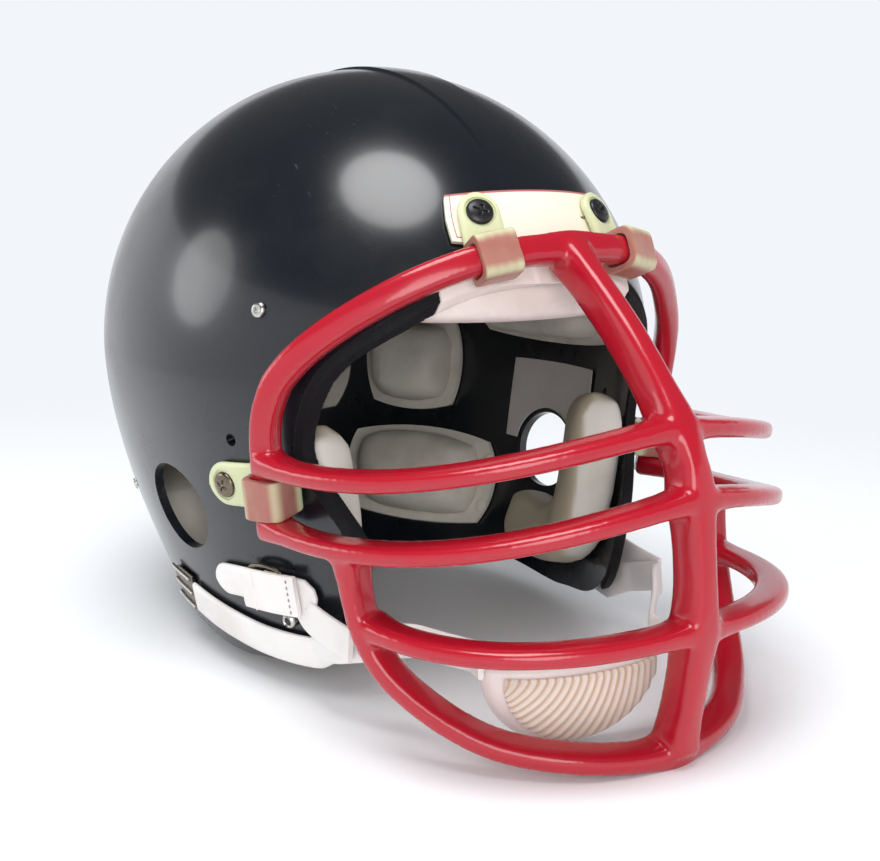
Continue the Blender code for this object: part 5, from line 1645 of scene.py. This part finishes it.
def build_hook(context, side):
    """Plate at the rear end of the long strap with three wires over it."""
    run = skin_run(HOOK_ROUTE_SHARES, side, FIT_GAP)
    hook = blank(side_name("strap_hook", side) + "_plate",
                 ribbon(run, HOOK_WIDTH, HOOK_THICK, 20, round_start=True))
    finished(hook, [side_name("strap_hook", side)], finish_of(context, "screw_bronze"))
    length = run_length(run)
    wires = bmesh.new()
    for share in HOOK_WIRE_SHARES:
        stations = []
        for step in range(HOOK_WIRE_STEPS + 1):
            share_along = HOOK_WIRE_START + HOOK_WIRE_SPAN * step / HOOK_WIRE_STEPS
            place = run_frame(run, length * share_along)
            lift = place.col[2].to_3d() * (HOOK_THICK + WIRE_RADIUS * HOOK_WIRE_LIFT)
            across = place.col[1].to_3d() * share * HOOK_WIDTH / 2
            stations.append((place.to_translation() + lift + across, place.col[2].to_3d()))
        wire(wires, stations, WIRE_RADIUS)
    finished(blank(side_name("hook_wires", side), wires), [], finish_of(context, "screw_steel"))


def build_snap(context, side):
    """Snap beside the keeper, with a black disc in its dimple as painted shade of its hollow."""
    build_stud(context, "strap_snap", side, SNAP_PLACE, SNAP_RADIUS, SNAP_HEIGHT, FIT_GAP, 0.5)
    # Painted shade: a black disc fills the dimple, where the snap's hollow lies in shadow
    shade_disc = disc(side_name("snap_eye", side), skin_frame(*SNAP_PLACE, side), SNAP_RADIUS * SNAP_SHADE_SHARE,
               *(FIT_GAP + SNAP_HEIGHT * share for share in SNAP_SHADE_HEIGHTS), 24)
    finished(shade_disc, [], finish_of(context, "screw_black"))


# Chin cup

def build_cup(context):
    """Soft bowl under the chin with a rolled rim."""
    bm = bmesh.new()
    bmesh.ops.create_uvsphere(bm, u_segments=96, v_segments=48, radius=1,
                              matrix=Matrix.Rotation(math.pi / 2, 4, "Y"))
    behind = [face for face in bm.faces if face.calc_center_median().z < 0]
    bmesh.ops.delete(bm, geom=behind, context="FACES")
    placement = cup_frame()
    for vert in bm.verts:
        vert.co = cup_point(vert.co)
    bm.transform(placement)
    bowl = thicken(blank("bowl", bm), CUP_WALL)
    bm = bmesh.new()
    absorb(bm, bowl)
    rim = bmesh.new()
    stations = []
    for step in range(RIM_STEPS + 1):
        angle = 2 * math.pi * step / RIM_STEPS
        unit = Vector((math.cos(angle), math.sin(angle), 0))
        out = cup_normal(unit)
        stations.append((placement @ (cup_point(unit) - out * CUP_WALL / 2), placement.to_3x3() @ out))
    wire(rim, stations, CUP_RIM_RADIUS, 16)
    absorb(bm, blank("rim", rim))
    cup = remeshed(blank("chin_cup_soft", bm), CUP_VOXEL, 5)
    return finished(cup, ["chin_cup"], finish_of(context, "cup_vinyl"), "chin_strap")


def rib_wave(turns):
    return 0.5 - 0.5 * math.cos(2 * math.pi * turns)


def build_cup_cover(context):
    """Ribbed cover over the front of the bowl."""
    ribs = context.scene.helmet_sizes.rib_count
    placement = cup_frame()
    columns = ribs * RIB_STEPS
    rows = []
    for column in range(columns + 1):
        share = even_share(column, columns)
        head = CUP_COVER_SHARE * math.sin(CUP_COVER_TURN) * share
        angle = CUP_COVER_TURN * (share - RIB_LEAN * (1 - share * share))
        foot_x, foot_y = CUP_COVER_SHARE * math.sin(angle), -CUP_COVER_SHARE * math.cos(angle)
        wave = rib_wave(ribs * column / columns)
        row = []
        for step in range(COVER_ROWS + 1):
            x = head + (foot_x - head) * (step / COVER_ROWS) ** COVER_BOW
            y = CUP_COVER_TOP + (foot_y - CUP_COVER_TOP) * step / COVER_ROWS
            unit = Vector((x, y, math.sqrt(1 - x * x - y * y)))
            point, out = cup_point(unit), cup_normal(unit)
            fade = min(1.0, step / 4, (COVER_ROWS - step) / 4)
            high = FIT_GAP + CUP_COVER_THICK + RIB_HEIGHT * wave ** 0.7 * fade
            row.append((placement @ (point + out * FIT_GAP), placement @ (point + out * high),
                        (column / columns, step / COVER_ROWS)))
        rows.append(row)
    cover = blank("cup_cover_ribbed", sheet(rows), 70)
    layer = cover.data.uv_layers["UVMap"]
    rib = cover.data.attributes.new("rib", "FLOAT", "POINT")
    for loop in cover.data.loops:
        share = layer.data[loop.index].uv[0] * ribs
        rib.data[loop.vertex_index].value = rib_wave(share)
    return finished(cover, ["cup_cover"], finish_of(context, "cup_cover_vinyl"), "chin_strap")


# Studio

def build_stage(context):
    """Pale floor that curves up behind, soft lamps and the photograph's camera."""
    stage = context.scene.helmet_stage
    profile = [(0.0, 0.0), (0.6, 0.0), (BACKDROP_REACH, 0.0)]
    profile += [(BACKDROP_REACH + BACKDROP_BEND * math.sin(math.radians(t)),
                 BACKDROP_BEND * (1 - math.cos(math.radians(t)))) for t in range(6, 91, 6)]
    profile += [(BACKDROP_REACH + BACKDROP_BEND, BACKDROP_HEIGHT)]
    backdrop = blank("studio_backdrop", turned(Matrix(), profile, BACKDROP_SIDES))
    backdrop.data.materials.append(floor_finish(stage.floor_color, stage.far_color))

    lamps = (
        ("overhead", (-0.35, -0.25, 1.5), (0, 0, 0.1), 0.9, stage.overhead_power),
        ("left_side", (-1.5, 1.2, 0.7), (0, 0, 0.12), 0.9, stage.side_power),
        ("front_fill", (-0.55, -1.0, 0.42), (0, 0, 0.12), 0.7, stage.fill_power),
    )
    for name, place, aim, size, power in lamps:
        light = bpy.data.lights.new(name, "AREA")
        light.shape = "DISK"
        light.size = size
        light.energy = power
        lamp = bpy.data.objects.new(name, light)
        lamp.location = place
        lamp.rotation_euler = (Vector(aim) - Vector(place)).to_track_quat("-Z", "Y").to_euler()
        bpy.context.scene.collection.objects.link(lamp)

    world = bpy.data.worlds.new("studio")
    context.scene.world = world
    sky = Finish("studio", world=world)
    sky.put(sky.shader.inputs["Color"], rgba(stage.sky_color))
    shiny = sky.node("ShaderNodeLightPath", output="Is Glossy Ray")
    sky.put(sky.shader.inputs["Strength"], stage.sky_strength - shiny * stage.sky_strength * 0.8)

    lens = bpy.data.cameras.new("photo_camera")
    lens.lens = FOCAL_PIXELS / PICTURE_WIDTH * SENSOR_WIDTH
    lens.sensor_width = SENSOR_WIDTH
    lens.sensor_fit = "HORIZONTAL"
    lens.clip_end = 20
    camera = bpy.data.objects.new("photo_camera", lens)
    back = -Vector(CAMERA_AHEAD)
    turn = Matrix((Vector(CAMERA_RIGHT), Vector(CAMERA_UP), back)).transposed().to_4x4()
    camera.matrix_world = Matrix.Translation(CAMERA_PLACE) @ turn
    bpy.context.scene.collection.objects.link(camera)
    bpy.context.scene.camera = camera
    context.scene.view_settings.view_transform = "Standard"


# Settings, operators and panel

def color_prop(name, text, default):
    return bpy.props.FloatVectorProperty(name=name, description=text, default=default,
                                         size=3, min=0.0, max=1.0, subtype="COLOR")


def number_prop(name, text, default, unit="NONE"):
    return bpy.props.FloatProperty(name=name, description=text, default=default, min=0.0, unit=unit)


class HelmetColors(bpy.types.PropertyGroup):
    """Colours of the finishes."""
    shell: color_prop("Shell", "Colour of the hard shell", (0.004, 0.006, 0.010))
    rubber: color_prop("Rubber", "Colour of the edge bead", (0.006, 0.006, 0.007))
    plate: color_prop("Plate", "Ground of the front plate", (0.86, 0.80, 0.66))
    plate_line: color_prop("Plate line", "Border of the front plate", (0.42, 0.07, 0.08))
    mask: color_prop("Mask", "Colour of the face mask", (0.44, 0.006, 0.020))
    clip: color_prop("Clip", "Tint of the clips", (0.78, 0.86, 0.56))
    clip_bar: color_prop("Clip over the bar", "Tint where the bar shows", (0.46, 0.10, 0.11))
    liner: color_prop("Liner", "Colour of the liner pads", (0.80, 0.76, 0.67))
    brow: color_prop("Brow", "Colour of the brow pad", (0.84, 0.76, 0.71))
    jaw: color_prop("Jaw", "Front face of the jaw pads", (0.76, 0.73, 0.66))
    jaw_inner: color_prop("Jaw inner", "Cheek side of the jaw pads", (0.52, 0.45, 0.33))
    strap: color_prop("Strap", "Colour of the straps", (0.86, 0.83, 0.81))
    cup: color_prop("Cup", "Colour of the chin cup", (0.84, 0.76, 0.73))
    rib: color_prop("Rib", "Cords of the cup cover", (0.66, 0.44, 0.28))
    groove: color_prop("Groove", "Ground between the cords", (0.88, 0.77, 0.68))


class HelmetSizes(bpy.types.PropertyGroup):
    """Sizes of the finer detail."""
    shell_rounding: number_prop("Shell rounding", "Rounding of the shell's cut edges", 0.0005, "LENGTH")
    bead_lap: number_prop("Bead lap", "How far the edge bead laps onto the shell", 0.0008, "LENGTH")
    bead_proud: number_prop("Bead height", "How far the bead stands over the shell", 0.0004, "LENGTH")
    rib_count: bpy.props.IntProperty(
        name="Ribs", description="Number of cords on the cup cover", default=20, min=4)


class HelmetStage(bpy.types.PropertyGroup):
    """Studio settings."""
    floor_color: color_prop("Floor", "Colour of the floor and backdrop", (0.90, 0.91, 0.93))
    far_color: color_prop("Far floor", "Even ground far from the helmet", (0.895, 0.915, 0.96))
    sky_color: color_prop("Sky", "Colour of the light from all round", (0.95, 0.98, 1.0))
    sky_strength: number_prop("Sky strength", "Light from all round", 0.68)
    overhead_power: number_prop("Overhead", "Power of the lamp above", 14.0)
    side_power: number_prop("Side", "Power of the lamp at the left", 5.0)
    fill_power: number_prop("Fill", "Power of the lamp in front", 5.0)


class HELMET_OT_shell(bpy.types.Operator):
    """Build the shell and its rubber edge"""
    bl_idname = "helmet.shell"
    bl_label = "Shell"

    def execute(self, context):
        build_shell(context)
        build_edge_trim(context)
        return {"FINISHED"}


class HELMET_OT_front_plate(bpy.types.Operator):
    """Build the bare plate over the brow"""
    bl_idname = "helmet.front_plate"
    bl_label = "Front plate"

    def execute(self, context):
        build_front_plate(context)
        return {"FINISHED"}


class HELMET_OT_mask(bpy.types.Operator):
    """Build the moulded face mask"""
    bl_idname = "helmet.mask"
    bl_label = "Face mask"

    def execute(self, context):
        build_facemask(context)
        return {"FINISHED"}


class HELMET_OT_clips(bpy.types.Operator):
    """Build the clips with their screws and nuts"""
    bl_idname = "helmet.clips"
    bl_label = "Clips"

    def execute(self, context):
        top_bar = (TOP_CLIP_AZIMUTH, TOP_CLIP_RISE_SHARES[0])
        side_bar = (SIDE_CLIP_AZIMUTHS[0], SIDE_CLIP_RISE_SHARES[0])
        for side in SIDES:
            build_clip(context, "top_clip", side, top_bar, TOP_SCREW_PLACE, TOP_CLIP_BASE,
                       TOP_TAB_WIDTH, TOP_CLIP_WIDTH)
            build_clip(context, "side_clip", side, side_bar, SIDE_SCREW_PLACE, FIT_GAP,
                       SIDE_TAB_WIDTH, SIDE_CLIP_WIDTH)
            seat = TAB_THICK - DISH_DEPTH + FIT_GAP / 3
            build_screw(context, "top_clip_screw", side, TOP_SCREW_PLACE, TOP_CLIP_BASE + seat,
                        "screw_black")
            build_screw(context, "side_clip_screw", side, SIDE_SCREW_PLACE, FIT_GAP + seat,
                        "screw_bronze")
            build_nut(context, "top_clip_nut", side, TOP_SCREW_PLACE)
            build_nut(context, "side_clip_nut", side, SIDE_SCREW_PLACE)
        return {"FINISHED"}


class HELMET_OT_studs(bpy.types.Operator):
    """Build the liner screws and the rear rivets"""
    bl_idname = "helmet.studs"
    bl_label = "Studs"

    def execute(self, context):
        for side in SIDES:
            build_stud(context, "liner_screw", side, LINER_SCREW_PLACE, LINER_SCREW_RADIUS,
                       LINER_SCREW_HEIGHT)
            build_stud(context, "rear_rivet", side, REAR_RIVET_PLACE, RIVET_RADIUS, RIVET_HEIGHT)
        return {"FINISHED"}


class HELMET_OT_liner(bpy.types.Operator):
    """Build the stuffed pads, their rivets and the bare tag"""
    bl_idname = "helmet.liner"
    bl_label = "Liner"

    def execute(self, context):
        build_pad(context, "brow_pad", band_place(BROW_PAD_EDGES, 1), BROW_PAD_THICK, "brow_vinyl",
                  BROW_PAD_FLANGE_SHARE)
        build_pad(context, "back_pad", band_place(BACK_PAD_EDGES, 1), PAD_THICK, "liner_vinyl")
        build_pad(context, "crown_front_pad", crown_place(CROWN_FRONT_PAD, 1), PAD_THICK, "liner_vinyl")
        build_pad(context, "crown_rear_pad", crown_place(CROWN_REAR_PAD, 1), PAD_THICK, "liner_vinyl")
        for side in SIDES:
            for name, edges in (("side_pad", SIDE_PAD_EDGES), ("rear_side_pad", REAR_SIDE_PAD_EDGES),
                                ("neck_pad", NECK_PAD_EDGES)):
                build_pad(context, side_name(name, side), band_place(edges, side), PAD_THICK,
                          "liner_vinyl")
            build_pad(context, side_name("crown_side_pad", side), crown_place(CROWN_SIDE_PAD, side),
                      PAD_THICK, "liner_vinyl")
            build_pad_rivets(context, side)
        build_tag(context)
        return {"FINISHED"}


class HELMET_OT_jaw_pads(bpy.types.Operator):
    """Build the two cheek cushions"""
    bl_idname = "helmet.jaw_pads"
    bl_label = "Jaw pads"

    def execute(self, context):
        for side in SIDES:
            build_jaw_pad(context, side)
        return {"FINISHED"}


class HELMET_OT_straps(bpy.types.Operator):
    """Build the straps, hooks, keepers and snaps"""
    bl_idname = "helmet.straps"
    bl_label = "Straps"

    def execute(self, context):
        for side in SIDES:
            build_long_strap(context, side)
            build_front_strap(context, side)
            build_keeper(context, side)
            build_hook(context, side)
            build_snap(context, side)
        return {"FINISHED"}


class HELMET_OT_cup(bpy.types.Operator):
    """Build the chin cup and its ribbed cover"""
    bl_idname = "helmet.cup"
    bl_label = "Chin cup"

    def execute(self, context):
        build_cup(context)
        build_cup_cover(context)
        return {"FINISHED"}


class HELMET_OT_stage(bpy.types.Operator):
    """Build the floor, the lamps and the camera"""
    bl_idname = "helmet.stage"
    bl_label = "Studio"

    def execute(self, context):
        build_stage(context)
        return {"FINISHED"}


OPERATORS = (HELMET_OT_stage, HELMET_OT_shell, HELMET_OT_front_plate, HELMET_OT_mask,
             HELMET_OT_clips, HELMET_OT_studs, HELMET_OT_liner, HELMET_OT_jaw_pads,
             HELMET_OT_straps, HELMET_OT_cup)


class HELMET_PT_panel(bpy.types.Panel):
    """Settings and pieces of the helmet"""
    bl_idname = "HELMET_PT_panel"
    bl_label = "Football Helmet"
    bl_space_type = "VIEW_3D"
    bl_region_type = "UI"
    bl_category = "Helmet"

    def draw(self, context):
        for group in (context.scene.helmet_sizes, context.scene.helmet_colors,
                      context.scene.helmet_stage):
            box = self.layout.box()
            for name in group.bl_rna.properties.keys():
                if name not in ("rna_type", "name"):
                    box.prop(group, name)
        for operator in OPERATORS:
            self.layout.operator(operator.bl_idname)


CLASSES = (HelmetColors, HelmetSizes, HelmetStage, *OPERATORS, HELMET_PT_panel)


def register():
    for item in CLASSES:
        bpy.utils.register_class(item)
    bpy.types.Scene.helmet_colors = bpy.props.PointerProperty(type=HelmetColors)
    bpy.types.Scene.helmet_sizes = bpy.props.PointerProperty(type=HelmetSizes)
    bpy.types.Scene.helmet_stage = bpy.props.PointerProperty(type=HelmetStage)


def unregister():
    del bpy.types.Scene.helmet_stage
    del bpy.types.Scene.helmet_sizes
    del bpy.types.Scene.helmet_colors
    for item in reversed(CLASSES):
        bpy.utils.unregister_class(item)


def main():
    """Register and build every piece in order."""
    register()
    bpy.ops.helmet.stage()
    bpy.ops.helmet.shell()
    bpy.ops.helmet.front_plate()
    bpy.ops.helmet.mask()
    bpy.ops.helmet.clips()
    bpy.ops.helmet.studs()
    bpy.ops.helmet.liner()
    bpy.ops.helmet.jaw_pads()
    bpy.ops.helmet.straps()
    bpy.ops.helmet.cup()


if __name__ == "__main__":
    main()
